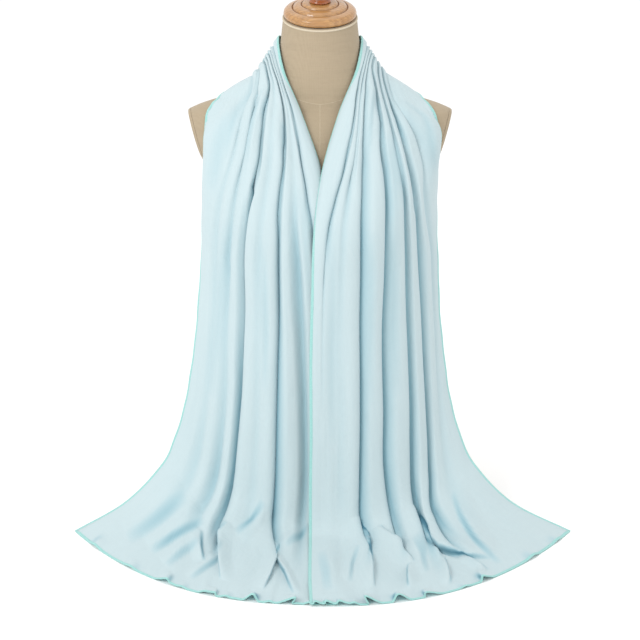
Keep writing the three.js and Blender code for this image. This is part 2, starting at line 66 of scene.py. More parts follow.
@dataclass
class Curves:
    """Named columns of a short table, read as smooth curves over its first column."""

    columns: list[str]
    rows: Rows
    free_start: tuple[str, ...] = ()   # columns that keep their slope at the first row

    def column(self, name: str) -> np.ndarray:
        """The numbers of one column."""
        return np.array([row[self.columns.index(name)] for row in self.rows], float)

    def plain_slopes(self, name: str) -> np.ndarray:
        """Slopes from each row's neighbours, level at the start unless the column is free."""
        at, values = self.column(self.columns[0]), self.column(name)
        before = np.maximum(np.arange(len(at)) - 1, 0)
        after = np.minimum(np.arange(len(at)) + 1, len(at) - 1)
        slopes = (values[after] - values[before]) / (at[after] - at[before])
        if name not in self.free_start:
            slopes[0] = 0.0
        return slopes

    def gentle_slopes(self, name: str) -> np.ndarray:
        """Slopes that never overshoot the rows."""
        at, values = self.column(self.columns[0]), self.column(name)
        steps = np.diff(values) / np.diff(at)
        slopes = np.zeros(len(at))
        before, after = steps[:-1], steps[1:]
        same_way = before * after > 0
        total = np.where(same_way, before + after, 1.0)
        slopes[1:-1] = np.where(same_way, 2 * before * after / total, 0.0)
        slopes[-1] = steps[-1]
        return slopes

    def read(self, name: str, at: np.ndarray, gentle: bool = False) -> np.ndarray:
        """Reads one column between the rows.

        Args:
            name: The column.
            at: Places along the first column.
            gentle: Whether the curve may not overshoot its rows.

        Returns:
            The curve's value at each place.
        """
        keys, values = self.column(self.columns[0]), self.column(name)
        slopes = self.gentle_slopes(name) if gentle else self.plain_slopes(name)
        place = np.asarray(at, float)
        i = np.clip(np.searchsorted(keys, place, side="left") - 1, 0, len(keys) - 2)
        reach = keys[i + 1] - keys[i]
        t = (place - keys[i]) / reach
        t2, t3 = t * t, t * t * t
        return (values[i] * (2 * t3 - 3 * t2 + 1) + slopes[i] * reach * (t3 - 2 * t2 + t)
                + values[i + 1] * (3 * t2 - 2 * t3) + slopes[i + 1] * reach * (t3 - t2))


def unit(vectors: np.ndarray) -> np.ndarray:
    """Vectors of length one along the last axis."""
    return vectors / np.maximum(np.linalg.norm(vectors, axis=-1, keepdims=True), 1e-9)


# Material building

class Finish:
    """A procedural material under construction, with its Principled shader."""

    def __init__(self, name: str) -> None:
        """Starts a material that has a Principled shader alone."""
        self.material = bpy.data.materials.new(name)
        self.material.use_nodes = True
        self.tree = self.material.node_tree
        self.shader = next(n for n in self.tree.nodes if n.type == "BSDF_PRINCIPLED")

    def put(self, socket: bpy.types.NodeSocket, value: object) -> None:
        """Links a socket to another, or sets its value."""
        if isinstance(value, bpy.types.NodeSocket):
            self.tree.links.new(value, socket)
        else:
            socket.default_value = value

    def node(self, kind: str, inputs: dict | None = None, **settings: object) -> bpy.types.Node:
        """Adds a node.

        Args:
            kind: The node's type name in Blender.
            inputs: Values or sockets, by input name or number.
            **settings: The node's own properties.

        Returns:
            The new node.
        """
        made = self.tree.nodes.new(kind)
        for key, value in settings.items():
            setattr(made, key, value)
        for key, value in (inputs or {}).items():
            self.put(made.inputs[key], value)
        return made

    def math(self, operation: str, a: object, b: object = 0.0) -> bpy.types.NodeSocket:
        """The result of a sum on two numbers."""
        return self.node("ShaderNodeMath", {0: a, 1: b}, operation=operation).outputs[0]

    def held(self, value: bpy.types.NodeSocket) -> bpy.types.NodeSocket:
        """A number kept from 0 to 1."""
        return self.math("MINIMUM", self.math("MAXIMUM", value, 0.0), 1.0)

    def stretched(self, source: str, scale: Triple, turn: Triple = (0, 0, 0)
                  ) -> bpy.types.NodeSocket:
        """Coordinates scaled along each axis.

        Args:
            source: Name of the Texture Coordinate output, Object or UV.
            scale: Scale along each axis.
            turn: Rotation in radians.

        Returns:
            The coordinates' socket.
        """
        origin = self.node("ShaderNodeTexCoord").outputs[source]
        mapping = self.node("ShaderNodeMapping", {
            "Vector": origin, "Scale": scale, "Rotation": turn})
        return mapping.outputs[0]

    def noise(self, vector: bpy.types.NodeSocket, scale: float, detail: float = 3.0,
              roughness: float = 0.55) -> bpy.types.NodeSocket:
        """Fractal noise from 0 to 1."""
        return self.node("ShaderNodeTexNoise", {
            "Vector": vector, "Scale": scale, "Detail": detail,
            "Roughness": roughness}).outputs[0]

    def wave(self, vector: bpy.types.NodeSocket, scale: float, direction: str,
             distortion: float = 0.0) -> bpy.types.NodeSocket:
        """Even bands across one axis."""
        return self.node("ShaderNodeTexWave", {
            "Vector": vector, "Scale": scale, "Distortion": distortion, "Detail": 1.0},
            wave_type="BANDS", bands_direction=direction, wave_profile="SIN").outputs[1]

    def ramp(self, value: bpy.types.NodeSocket, stops: list[tuple[float, Color]]
             ) -> bpy.types.NodeSocket:
        """Colours along a number."""
        made = self.node("ShaderNodeValToRGB", {0: value})
        band = made.color_ramp
        while len(band.elements) < len(stops):
            band.elements.new(0.5)
        for element, (place, color) in zip(band.elements, stops):
            element.position = place
            element.color = (*color, 1.0)
        return made.outputs[0]

    def mix(self, share: object, a: object, b: object) -> bpy.types.NodeSocket:
        """Mixes two colours."""
        made = self.node("ShaderNodeMix", data_type="RGBA")
        for index, value in ((0, share), (6, a), (7, b)):    # 6 and 7 are its colour sockets
            if isinstance(value, tuple):
                value = (*value, 1.0)
            self.put(made.inputs[index], value)
        return made.outputs[2]

    def bump(self, height: bpy.types.NodeSocket, strength: float, distance: float,
             under: bpy.types.NodeSocket | None = None) -> bpy.types.NodeSocket:
        """A bumped normal, on top of another one where given."""
        inputs = {"Height": height, "Strength": strength, "Distance": distance}
        if under is not None:
            inputs["Normal"] = under
        return self.node("ShaderNodeBump", inputs).outputs[0]

    def done(self, **inputs: object) -> bpy.types.Material:
        """Sets the shader's sockets; underscores in names stand for spaces."""
        for key, value in inputs.items():
            self.put(self.shader.inputs[key.replace("_", " ")], value)
        return self.material


def bands_of(period: float) -> float:
    """The wave texture's scale that repeats its bands at a period in metres."""
    return math.pi / 10 / period


@dataclass(frozen=True)
class JerseyKnit:
    """Fine pale-blue jersey: wales along the cloth, courses across it, a soft sheen."""

    color: Color = (0.480, 0.570, 0.588)
    shade: Color = (0.432, 0.535, 0.562)
    deep: Color = (0.165, 0.375, 0.450)          # painted shade in the folds
    painted_core_shade: Color = (0.045, 0.150, 0.215)          # painted shade at the very bottom of the deepest folds
    lit_through: Color = (0.400, 0.800, 0.840)   # painted light through the thin cloth, where its underside shows
    wale: float = 0.0011      # metres between two wales
    course: float = 0.0009

    def make(self) -> bpy.types.Material:
        """Builds the material on the cloth's own UV map, which is in metres."""
        f = Finish("jersey_knit")
        plain = f.stretched("UV", (1.0, 1.0, 1.0))
        streaks = f.noise(f.stretched("UV", (1.0, 0.045, 1.0)), 260.0, 2.0)
        clouds = f.noise(plain, 14.0, 3.0)
        tone = f.math("ADD", f.math("MULTIPLY", streaks, 0.6), f.math("MULTIPLY", clouds, 0.4))
        color = f.mix(tone, self.shade, self.color)
        # Painted shade: a deeper blue in the folds, darkest at the bottom of the deepest ones.
        painted_shade = f.node("ShaderNodeAttribute", attribute_name="painted_shade").outputs["Fac"]
        color = f.mix(f.math("MULTIPLY", painted_shade, 0.85), color, self.deep)
        color = f.mix(f.math("MULTIPLY", f.math("POWER", painted_shade, 5.0), 0.9), color, self.painted_core_shade)
        # Painted light: a bright teal where the cloth faces down, for light coming through the
        # thin jersey.
        facing = f.node("ShaderNodeNewGeometry").outputs["Normal"]
        down = f.node("ShaderNodeSeparateXYZ", {0: facing}).outputs[2]
        turned_under = f.held(f.math("MULTIPLY", f.math("ADD", down, 0.5), -3.0))
        color = f.mix(turned_under, color, self.lit_through)
        wales = f.wave(plain, bands_of(self.wale), "X")
        courses = f.wave(plain, bands_of(self.course), "Y", 0.4)
        knit = f.math("MULTIPLY", wales, f.math("ADD", f.math("MULTIPLY", courses, 0.5), 0.5))
        fuzz = f.noise(plain, 1500.0, 2.0)
        relief = f.bump(f.math("ADD", knit, f.math("MULTIPLY", fuzz, 0.5)), 0.22, 0.00018)
        rumple = f.noise(f.stretched("UV", (1.0, 0.35, 1.0)), 55.0, 2.0, 0.4)
        relief = f.bump(rumple, 0.35, 0.003, relief)
        crosswise = f.noise(f.stretched("UV", (0.16, 1.0, 1.0)), 260.0, 2.0, 0.5)
        patches = f.math("POWER", f.noise(plain, 9.0, 2.0), 2.0)
        relief = f.bump(f.math("MULTIPLY", crosswise, patches), 0.5, 0.0022, relief)
        return f.done(Base_Color=color, Roughness=0.88, Normal=relief, Sheen_Weight=0.22,
                      Sheen_Roughness=0.45, Specular_IOR_Level=0.18)


@dataclass(frozen=True)
class EdgeThread:
    """Mint overlock thread, wound over the cloth's edge."""

    color: Color = (0.240, 0.510, 0.480)
    pale: Color = (0.350, 0.600, 0.575)

    def make(self) -> bpy.types.Material:
        """Builds the material on the band's own UV map, which is in metres."""
        f = Finish("edge_thread")
        plain = f.stretched("UV", (1.0, 1.0, 1.0))
        tone = f.noise(plain, 420.0, 2.0)
        color = f.mix(tone, self.color, self.pale)
        strands = f.wave(f.stretched("UV", (1.0, 1.0, 1.0), (0, 0, 0.5)), bands_of(0.0009), "X",
                         0.6)
        relief = f.bump(strands, 0.35, 0.0003)
        return f.done(Base_Color=color, Roughness=0.7, Normal=relief, Sheen_Weight=0.25,
                      Specular_IOR_Level=0.25)


@dataclass(frozen=True)
class LinenWeave:
    """Unbleached linen stretched on the form: plain weave, slubs, soft wear."""

    color: Color = (0.360, 0.290, 0.200)
    thin: Color = (0.395, 0.322, 0.226)
    slub: Color = (0.280, 0.217, 0.143)
    thread: float = 0.0013

    def make(self) -> bpy.types.Material:
        """Builds the material on Object coordinates."""
        f = Finish("linen_weave")
        plain = f.stretched("Object", (1.0, 1.0, 1.0))
        scale = bands_of(self.thread)
        warp = f.wave(f.stretched("Object", (1.0, 1.0, 0.0)), scale, "DIAGONAL", 0.5)
        weft = f.wave(plain, scale * 1.05, "Z", 0.5)
        weave = f.math("MULTIPLY", f.math("ADD", warp, 0.4), f.math("ADD", weft, 0.4))
        across = f.noise(f.stretched("Object", (6.0, 6.0, 90.0)), 7.0, 3.0)
        down = f.noise(f.stretched("Object", (90.0, 90.0, 6.0)), 7.0, 3.0)
        clouds = f.noise(plain, 9.0, 3.0)
        flecks = f.math("MULTIPLY", across, down)
        color = f.mix(clouds, self.color, self.thin)
        color = f.mix(f.math("MULTIPLY", f.math("POWER", flecks, 2.2), 1.6), color, self.slub)
        color = f.mix(f.math("MULTIPLY", weave, 0.10), color, self.slub)
        height = f.math("ADD", weave, f.math("MULTIPLY", flecks, 1.2))
        relief = f.bump(height, 0.3, 0.00035)
        wrinkles = f.noise(f.stretched("Object", (16.0, 16.0, 110.0), (0.12, 0.0, 0.0)), 1.0, 2.0)
        relief = f.bump(wrinkles, 0.4, 0.0035, relief)
        return f.done(Base_Color=color, Roughness=0.93, Normal=relief, Sheen_Weight=0.12,
                      Specular_IOR_Level=0.2)


@dataclass(frozen=True)
class SeamThread:
    """The linen form's own thread, a shade lighter than its cloth."""

    name: str = "seam_thread"
    color: Color = (0.56, 0.475, 0.35)
    dark: Color = (0.33, 0.265, 0.18)

    def make(self) -> bpy.types.Material:
        """Builds the material on Object coordinates."""
        f = Finish(self.name)
        plain = f.stretched("Object", (1.0, 1.0, 1.0))
        tone = f.noise(plain, 300.0, 2.0)
        color = f.mix(tone, self.color, self.dark)
        relief = f.bump(f.noise(plain, 1800.0, 1.0), 0.4, 0.0002)
        return f.done(Base_Color=color, Roughness=0.85, Normal=relief)


class WoodKind(Enum):
    """How a turned or sawn wood is finished."""

    SATIN_BEECH = "satin_beech"
    BURNT_LINE = "burnt_line"
    RED_POLISH = "red_polish"
    PLY = "plywood"


@dataclass(frozen=True)
class Wood:
    """Wood with long grain and a clear coat."""

    kind: WoodKind
    light: Color
    dark: Color
    roughness: float
    coat: float

    def make(self) -> bpy.types.Material:
        """Builds the material on Object coordinates."""
        f = Finish(self.kind.value)
        along = (0.12, 1.0, 1.0) if self.kind is not WoodKind.PLY else (1.0, 1.0, 26.0)
        grain_at = f.stretched("Object", along, (0.1, 0.35, 0.5))
        bands = f.wave(grain_at, 60.0, "Y", 4.0)
        pores = f.noise(f.stretched("Object", (0.06, 1.0, 1.0), (0.1, 0.35, 0.5)), 900.0, 2.0)
        clouds = f.noise(grain_at, 90.0, 3.0)
        tone = f.math("ADD", f.math("MULTIPLY", bands, 0.30), f.math("MULTIPLY", clouds, 0.75))
        color = f.ramp(tone, [(0.22, self.light), (0.88, self.dark)])
        color = f.mix(f.math("MULTIPLY", f.math("POWER", pores, 3.0), 2.0), color,
                      tuple(c * 0.45 for c in self.dark))
        relief = f.bump(f.math("ADD", bands, pores), 0.10, 0.0002)
        return f.done(Base_Color=color, Roughness=self.roughness, Normal=relief,
                      Coat_Weight=self.coat, Coat_Roughness=0.08, Specular_IOR_Level=0.5)


# Meshes

def object_from(bm: bmesh.types.BMesh, name: str, materials: list[bpy.types.Material],
                crease_angle: float = math.radians(38)) -> bpy.types.Object:
    """Turns a bmesh into a smooth-shaded object at the origin.

    Args:
        bm: The mesh, in metres, in its place. It is freed.
        name: The object's name.
        materials: Its material slots.
        crease_angle: Edges sharper than this stay sharp in the shading.

    Returns:
        The object, linked to the scene.
    """
    for edge in bm.edges:
        edge.smooth = len(edge.link_faces) != 2 or edge.calc_face_angle(0.0) < crease_angle
    for face in bm.faces:
        face.smooth = True
    mesh = bpy.data.meshes.new(name)
    bm.to_mesh(mesh)
    bm.free()
    for material in materials:
        mesh.materials.append(material)
    made = bpy.data.objects.new(name, mesh)
    bpy.context.scene.collection.objects.link(made)
    return made


def grid_mesh(points: np.ndarray, closed: bool = False) -> bmesh.types.BMesh:
    """A grid bent so that its vertices lie at the given points.

    Args:
        points: Rows by columns by 3, in metres.
        closed: Whether the last column joins the first.

    Returns:
        The mesh, with a vertex for each point in the order of the rows.
    """
    rows, columns = points.shape[:2]
    bm = bmesh.new()
    bmesh.ops.create_grid(bm, x_segments=columns - 1, y_segments=rows - 1, size=0.5)
    bm.verts.ensure_lookup_table()
    flat = points.reshape(-1, 3)
    for vertex, point in zip(bm.verts, flat.tolist()):
        vertex.co = point
    if closed:
        pairs = {bm.verts[r * columns + columns - 1]: bm.verts[r * columns]
                 for r in range(rows)}
        bmesh.ops.weld_verts(bm, targetmap=pairs)
    return bm


def fill_holes(bm: bmesh.types.BMesh) -> None:
    """Closes every open edge loop and points the normals outwards."""
    open_edges = [e for e in bm.edges if e.is_boundary]
    bmesh.ops.holes_fill(bm, edges=open_edges, sides=0)
    bmesh.ops.recalc_face_normals(bm, faces=bm.faces)


# The dress form

@dataclass
class Seam:
    """A thin ridge over the linen."""

    path: np.ndarray         # points on the body's surface, millimetres
    closed: bool = False     # whether it is a ring
    binding: bool = False    # whether it is the pale binding under the cap


@dataclass
class FormShape:
    """Level sections of the form and the way out of its surface, in millimetres."""

    neck_top: float = 660.0
    neck_tilt: float = math.radians(14.8)
    tilt_starts: float = 596.0
    bust_x: float = 78.0
    bust_z: float = 408.0
    bust_rise: float = 13.0
    bust_spread_x: float = 44.0
    bust_spread_z: float = 46.0
    sections: Curves = field(default_factory=lambda: Curves(
        ["z", "half", "front", "back", "square"], [
            [12.3, 152, -84, 104, 2.3], [34, 160, -90, 112, 2.3], [80, 161, -92, 112, 2.3],
            [140, 149, -88, 98, 2.2], [195, 126, -82, 80, 2.2], [235, 116, -80, 72, 2.2],
            [280, 121, -86, 76, 2.2], [330, 133, -96, 86, 2.2], [370, 141, -106, 92, 2.25],
            [408, 146, -112, 95, 2.3], [445, 149, -105, 96, 2.4], [470, 152.3, -95, 92, 2.4],
            [490, 163.5, -86, 88, 2.3], [508, 173, -78, 84, 2.2], [524, 177, -70, 77, 2.1],
            [536, 175.5, -63, 69, 2.05], [545, 160, -57, 62, 2.0], [554, 133, -55, 57, 2.0],
            [564, 98, -54, 55, 2.0], [576, 76, -54, 53, 2.0], [590, 61, -54, 52, 2.0],
            [606, 55, -53, 51, 2.0], [625, 51.5, -51, 49, 2.0], [660, 47.5, -49, 46, 2.0]]))

    def section(self, z: np.ndarray) -> tuple[np.ndarray, ...]:
        """Half width, middle, half depth and squareness at each level."""
        level = np.clip(z, self.sections.rows[0][0], self.neck_top)
        half, front, back, square = (
            self.sections.read(name, level, gentle=True)
            for name in ("half", "front", "back", "square"))
        return half, (front + back) / 2, (back - front) / 2, square

    def bust(self, x: np.ndarray, z: np.ndarray) -> np.ndarray:
        """How far the bust stands forward."""
        across = (np.abs(x) - self.bust_x) / self.bust_spread_x
        up = (z - self.bust_z) / self.bust_spread_z
        return self.bust_rise * np.exp(-(across ** 2 + up ** 2) / 2)

    def ring(self, z: np.ndarray, turn: np.ndarray) -> np.ndarray:
        """Points of the surface.

        Args:
            z: Levels, millimetres.
            turn: Angles round the form, radians, of a shape that broadcasts with z.

        Returns:
            Points in millimetres.
        """
        half, middle, depth, square = self.section(z)
        cos, sin = np.cos(turn), np.sin(turn)
        power = 2 / square
        x = half * np.sign(cos) * np.abs(cos) ** power
        reach = depth + np.where(sin < 0, self.bust(x, z), 0.0)
        y = middle + reach * np.sign(sin) * np.abs(sin) ** power
        share = np.clip((z - self.tilt_starts) / (self.neck_top - self.tilt_starts), 0, 1)
        return np.stack([x + 0 * z, y, z + (y - middle) * np.tan(self.neck_tilt * share)], -1)

    def level(self, p: np.ndarray) -> np.ndarray:
        """Below 1 inside the form, above 1 outside it."""
        half, middle, depth, square = self.section(p[..., 2])
        front = p[..., 1] < middle
        reach = depth + np.where(front, self.bust(p[..., 0], p[..., 2]), 0.0)
        return ((np.abs(p[..., 0]) / half) ** square
                + (np.abs(p[..., 1] - middle) / reach) ** square) ** (1 / square)

    def distance(self, p: np.ndarray) -> tuple[np.ndarray, np.ndarray]:
        """Distance of points from the surface, and the way straight out of it."""
        step = 1.5
        away = np.stack([(self.level(p + shift) - self.level(p - shift)) / (2 * step)
                         for shift in np.eye(3) * step], -1)
        steepness = np.maximum(np.linalg.norm(away, axis=-1), 1e-4)
        return (self.level(p) - 1) / steepness, away / steepness[..., None]

    def push_out(self, p: np.ndarray, clearance: float) -> np.ndarray:
        """Moves points that are nearer than the clearance out to it."""
        for _ in range(4):
            distance, away = self.distance(p)
            lack = np.clip(clearance - distance + 0.02, 0.0, 25.0)
            p = p + away * np.where(distance < clearance, lack, 0.0)[..., None]
        return p

    def on_neck_top(self, lift: float) -> Matrix:
        """The place and tilt of turned wood that stands on the neck top, in metres."""
        _, middle, _, _ = self.section(np.array(self.neck_top))
        place = Vector((0.0, float(middle) - math.sin(self.neck_tilt) * lift,
                        self.neck_top + math.cos(self.neck_tilt) * lift)) * MM
        return Matrix.Translation(place) @ Matrix.Rotation(self.neck_tilt, 4, "X")


@dataclass
class DressForm:
    """The limbless form: linen body and arm plates, board, turned neck cap and knob."""

    shape: FormShape
    ring_points: int = 128
    plate_x: float = 162.5
    plate_z: float = 503.5
    plate_slope: float = math.radians(16)
    plate_thick: float = 4.0
    plate_starts: float = 471.0
    gap: float = 0.3
    cap_height: float = 19.2
    burnt_rings: tuple[tuple[float, float], ...] = ((35.0, 36.5), (23.2, 24.6))
    cap_profile: Rows = field(default_factory=lambda: [
        [44.5, 0], [46.6, 1.6], [47.3, 4.6], [46.2, 8], [43.4, 10.6], [39.4, 12], [36.6, 12.3],
        [36.2, 11.3], [35.2, 11.3], [34.2, 13.6], [31, 15.4], [27, 16.2], [24.8, 16.4],
        [24.4, 15.5], [23.4, 15.5], [22.6, 17.6], [20.4, 18.8], [17.4, 19.2]])
    knob_profile: Rows = field(default_factory=lambda: [
        [13.2, 0], [14.4, 1.4], [13.6, 3], [11.4, 4.6], [11.2, 6.6], [13.6, 9.6], [16, 13.6],
        [16.9, 18.4], [16.2, 23.2], [13.8, 27.6], [10, 31], [5.4, 33]])
    knob_top: float = 33.6
    board_half: tuple[float, float] = (0.150, 0.092)    # metres, as the two below
    board_back: float = 0.008
    board_thick: float = 0.012
    seam_radius: float = 0.55
    seam_sink: float = 0.25
    binding_radius: float = 1.4
    binding_z: float = 658.0
    neck_seam_x: float = 62.0
    neck_seam_z: tuple[float, float, float] = (554.0, 588.0, 594.0)    # front, sides, back
    waist_z: float = 236.0

    def levels(self) -> np.ndarray:
        """Heights of the body's rings, closer at the shoulders."""
        return np.concatenate([
            np.arange(12.3, 470, 7.6), np.arange(471.5, 536, 3.2), np.arange(536, 600, 2.0),
            np.arange(600, 655, 4.0), [656.0, self.shape.neck_top]])

    def body(self) -> bmesh.types.BMesh:
        """The whole body as a closed mesh."""
        turns = 2 * math.pi * (np.arange(self.ring_points + 1) + 0.5) / self.ring_points
        points = self.shape.ring(self.levels()[:, None], turns[None, :]) * MM
        bm = grid_mesh(points, closed=True)
        fill_holes(bm)
        return bm

    def cut(self, bm: bmesh.types.BMesh, side: int, inwards: float, keep_inner: bool) -> None:
        """Cuts the shoulder end flat.

        Args:
            bm: The body.
            side: -1 for the left shoulder, 1 for the right.
            inwards: Distance of the cut inwards from the plate's outer face.
            keep_inner: Whether the inner side of the cut is kept.
        """
        out = Vector((side * math.cos(self.plate_slope), 0, -math.sin(self.plate_slope)))
        place = Vector((side * self.plate_x, 0, self.plate_z)) * MM - out * inwards * MM
        limit = self.plate_starts * MM
        faces = [f for f in bm.faces if side * f.calc_center_median().x > 0.05
                 and f.calc_center_median().z > limit and len(f.verts) < 9]
        faces += [f for f in bm.faces if len(f.verts) >= 9
                  and side * f.calc_center_median().x > 0.05]
        edges = dict.fromkeys(e for f in faces for e in f.edges)    # unlike a set, in order
        verts = dict.fromkeys(v for f in faces for v in f.verts)
        bmesh.ops.bisect_plane(
            bm, geom=[*verts, *edges, *faces], plane_co=place, plane_no=out,
            clear_outer=keep_inner, clear_inner=not keep_inner)

    def build_torso(self, linen: bpy.types.Material) -> bpy.types.Object:
        """The linen body with both armholes cut."""
        bm = self.body()
        for side in (-1, 1):
            self.cut(bm, side, self.plate_thick + self.gap, True)
            fill_holes(bm)
        return object_from(bm, "linen_body", [linen])

    def build_plate(self, side: int, name: str, linen: bpy.types.Material) -> bpy.types.Object:
        """An oval arm plate, flush with the body."""
        bm = self.body()
        limit = self.plate_starts * MM
        gone = [v for v in bm.verts if v.co.z < limit or side * v.co.x < 0.1]
        bmesh.ops.delete(bm, geom=gone, context="VERTS")
        self.cut(bm, side, 0.0, True)
        self.cut(bm, side, self.plate_thick, False)
        fill_holes(bm)
        rim = [e for e in bm.edges if e.calc_face_angle(0.0) > math.radians(50)]
        bmesh.ops.bevel(bm, geom=rim, offset=0.5 * MM, segments=2, profile=0.5,
                        affect="EDGES", material=-1)
        return object_from(bm, name, [linen])

    def turned(self, profile: Rows, top: float, lift: float, steps: int = 96
               ) -> bmesh.types.BMesh:
        """Wood turned on the neck's axis.

        Args:
            profile: Radius and height of each point, from the foot to the crown.
            top: Height of the crown's middle.
            lift: Height of the foot above the neck top, along the axis.
            steps: Steps of the full turn.

        Returns:
            The closed mesh in its place.
        """
        bm = bmesh.new()
        line = [[0.0, profile[0][1]], *profile, [0.0, top]]
        verts = [bm.verts.new((r * MM, 0.0, h * MM)) for r, h in line]
        for pair in zip(verts, verts[1:]):
            bm.edges.new(pair)
        bmesh.ops.bevel(bm, geom=verts[2:-2], offset=0.45 * MM, segments=3, profile=0.5,
                        affect="VERTICES", material=-1)
        bmesh.ops.spin(bm, geom=[*bm.verts, *bm.edges], cent=(0, 0, 0), axis=(0, 0, 1),
                       angle=2 * math.pi, steps=steps, use_merge=True)
        bmesh.ops.remove_doubles(bm, verts=bm.verts, dist=1e-6)
        bmesh.ops.recalc_face_normals(bm, faces=bm.faces)
        bmesh.ops.transform(bm, matrix=self.shape.on_neck_top(lift), verts=bm.verts)
        return bm

    def build_cap(self, beech: bpy.types.Material, burnt: bpy.types.Material
                  ) -> bpy.types.Object:
        """The neck cap, with two rings burnt into it."""
        bm = self.turned(self.cap_profile, self.cap_height, self.gap)
        back = self.shape.on_neck_top(self.gap).inverted()
        for face in bm.faces:
            place = back @ face.calc_center_median()
            radius = math.hypot(place.x, place.y) / MM
            in_ring = any(low < radius < high for low, high in self.burnt_rings)
            face.material_index = int(in_ring and place.z > 5 * MM)
        return object_from(bm, "turned_cap", [beech, burnt], math.radians(60))

    def build_knob(self, polish: bpy.types.Material) -> bpy.types.Object:
        """The glossy knob on the cap."""
        bm = self.turned(self.knob_profile, self.knob_top, self.cap_height + 2 * self.gap)
        return object_from(bm, "polished_knob", [polish], math.radians(60))

    def build_board(self, ply: bpy.types.Material) -> bpy.types.Object:
        """The plywood board that closes the form below."""
        bm = bmesh.new()
        bmesh.ops.create_circle(bm, cap_ends=True, segments=96, radius=1.0)
        bmesh.ops.scale(bm, vec=(*self.board_half, 1.0), verts=bm.verts)
        bmesh.ops.translate(bm, vec=(0, self.board_back, 0), verts=bm.verts)
        lifted = bmesh.ops.extrude_face_region(bm, geom=bm.faces[:])
        top = [v for v in lifted["geom"] if isinstance(v, bmesh.types.BMVert)]
        bmesh.ops.translate(bm, vec=(0, 0, self.board_thick), verts=top)
        bmesh.ops.recalc_face_normals(bm, faces=bm.faces)
        rim = [e for e in bm.edges if e.calc_face_angle(0.0) > math.radians(60)]
        bmesh.ops.bevel(bm, geom=rim, offset=2 * MM, segments=4, profile=0.5,
                        affect="EDGES", material=-1)
        return object_from(bm, "plywood_board", [ply])

    def tube_on_body(self, seam: Seam, sides: int = 6) -> np.ndarray:
        """Sweeps a seam over the body.

        Args:
            seam: The seam.
            sides: Sides of its section.

        Returns:
            Rows by sides by 3 points, millimetres.
        """
        path, radius = seam.path, self.binding_radius if seam.binding else self.seam_radius
        _, away = self.shape.distance(path)
        if seam.closed:
            ahead = np.roll(path, -1, 0) - np.roll(path, 1, 0)
        else:
            ahead = np.gradient(path, axis=0)
        ahead = unit(ahead)
        across = unit(np.cross(ahead, away))
        turn = 2 * math.pi * np.arange(sides + 1) / sides
        middle = path - away * self.seam_sink
        return (middle[:, None] + radius * (np.cos(turn)[None, :, None] * across[:, None]
                                            + np.sin(turn)[None, :, None] * away[:, None]))

    def seams(self) -> list[Seam]:
        """Seams round the neck's foot and waist, down front and back and down the panels."""
        turns = 2 * math.pi * np.arange(160) / 160
        front_side, lift = np.sin(turns) < 0, np.abs(np.sin(turns))
        front_z, side_z, back_z = self.neck_seam_z
        z = np.where(front_side, front_z + (side_z - front_z) * (1 - lift) ** 0.8,
                     side_z + (back_z - side_z) * lift)
        x = self.neck_seam_x * np.cos(turns)
        half, middle, depth, square = self.shape.section(z)
        reach = (1 - np.minimum(np.abs(x) / half, 1) ** square) ** (1 / square)
        neck = np.stack([x, middle + np.sign(np.sin(turns)) * depth * reach, z], -1)
        binding = Seam(self.shape.ring(np.full(160, self.binding_z), turns), True, True)
        front = self.shape.ring(np.linspace(14.0, 553.0, 150), np.full(150, -math.pi / 2))
        back = self.shape.ring(np.linspace(14.0, 593.0, 150), np.full(150, math.pi / 2))
        princess = []
        for side in (-1, 1):
            for facing in (-1, 1):
                levels = np.linspace(14.0, 500.0, 130)
                spread = 0.52 + 0.10 * np.sin((levels - 60) / 460 * math.pi)
                turn = facing * math.pi / 2 + side * facing * -spread
                princess.append(Seam(self.shape.ring(levels, turn)))
        waist = Seam(self.shape.ring(np.full(160, self.waist_z), turns), True)
        return [Seam(neck, True), binding, Seam(front), Seam(back), *princess, waist]

    def build_seams(self, finishes: list[bpy.types.Material]) -> bpy.types.Object:
        """All the body's seams and the binding under the cap, as one mesh of thin ridges."""
        whole = bmesh.new()
        for seam in self.seams():
            tube = self.tube_on_body(seam)
            if seam.closed:
                tube = np.concatenate([tube, tube[:1]], 0)
            bm = grid_mesh(tube * MM, closed=True)
            if seam.closed:
                bmesh.ops.remove_doubles(bm, verts=bm.verts, dist=1e-6)
            else:
                fill_holes(bm)
            bmesh.ops.recalc_face_normals(bm, faces=bm.faces)
            for face in bm.faces:
                face.material_index = int(seam.binding)
            mesh = bpy.data.meshes.new("part")
            bm.to_mesh(mesh)
            bm.free()
            whole.from_mesh(mesh)
            bpy.data.meshes.remove(mesh)
        return object_from(whole, "linen_seams", finishes)

    def build(self) -> None:
        """Builds every piece of the form, and hides the parts that they stand for."""
        linen = LinenWeave().make()
        beech = Wood(WoodKind.SATIN_BEECH, (0.530, 0.285, 0.100), (0.37, 0.175, 0.056),
                     0.34, 0.6).make()
        burnt = Wood(WoodKind.BURNT_LINE, (0.30, 0.125, 0.042), (0.15, 0.058, 0.018),
                     0.65, 0.0).make()
        polish = Wood(WoodKind.RED_POLISH, (0.460, 0.135, 0.024), (0.240, 0.052, 0.010),
                      0.18, 0.4).make()
        ply = Wood(WoodKind.PLY, (0.66, 0.48, 0.30), (0.42, 0.27, 0.14), 0.6, 0.0).make()
        made = [
            (self.build_torso(linen), "linen", "form_torso"),
            (self.build_plate(-1, "arm_plate_left", linen), "linen", "form_arm_plate_left"),
            (self.build_plate(1, "arm_plate_right", linen), "linen", "form_arm_plate_right"),
            (self.build_board(ply), "board", "form_base_board"),
            (self.build_cap(beech, burnt), "turned_wood", "form_neck_cap"),
            (self.build_knob(polish), "polished_wood", "form_knob"),
        ]
        for piece, slot, node in made:
            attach(piece, "root")
            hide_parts(node)
            log.info("%s stands for %s", piece.name, node)
        binding = SeamThread("pale_binding", (0.60, 0.53, 0.41), (0.50, 0.43, 0.32))
        seams = self.build_seams([SeamThread().make(), binding.make()])
        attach(seams, "root")


# The cloth

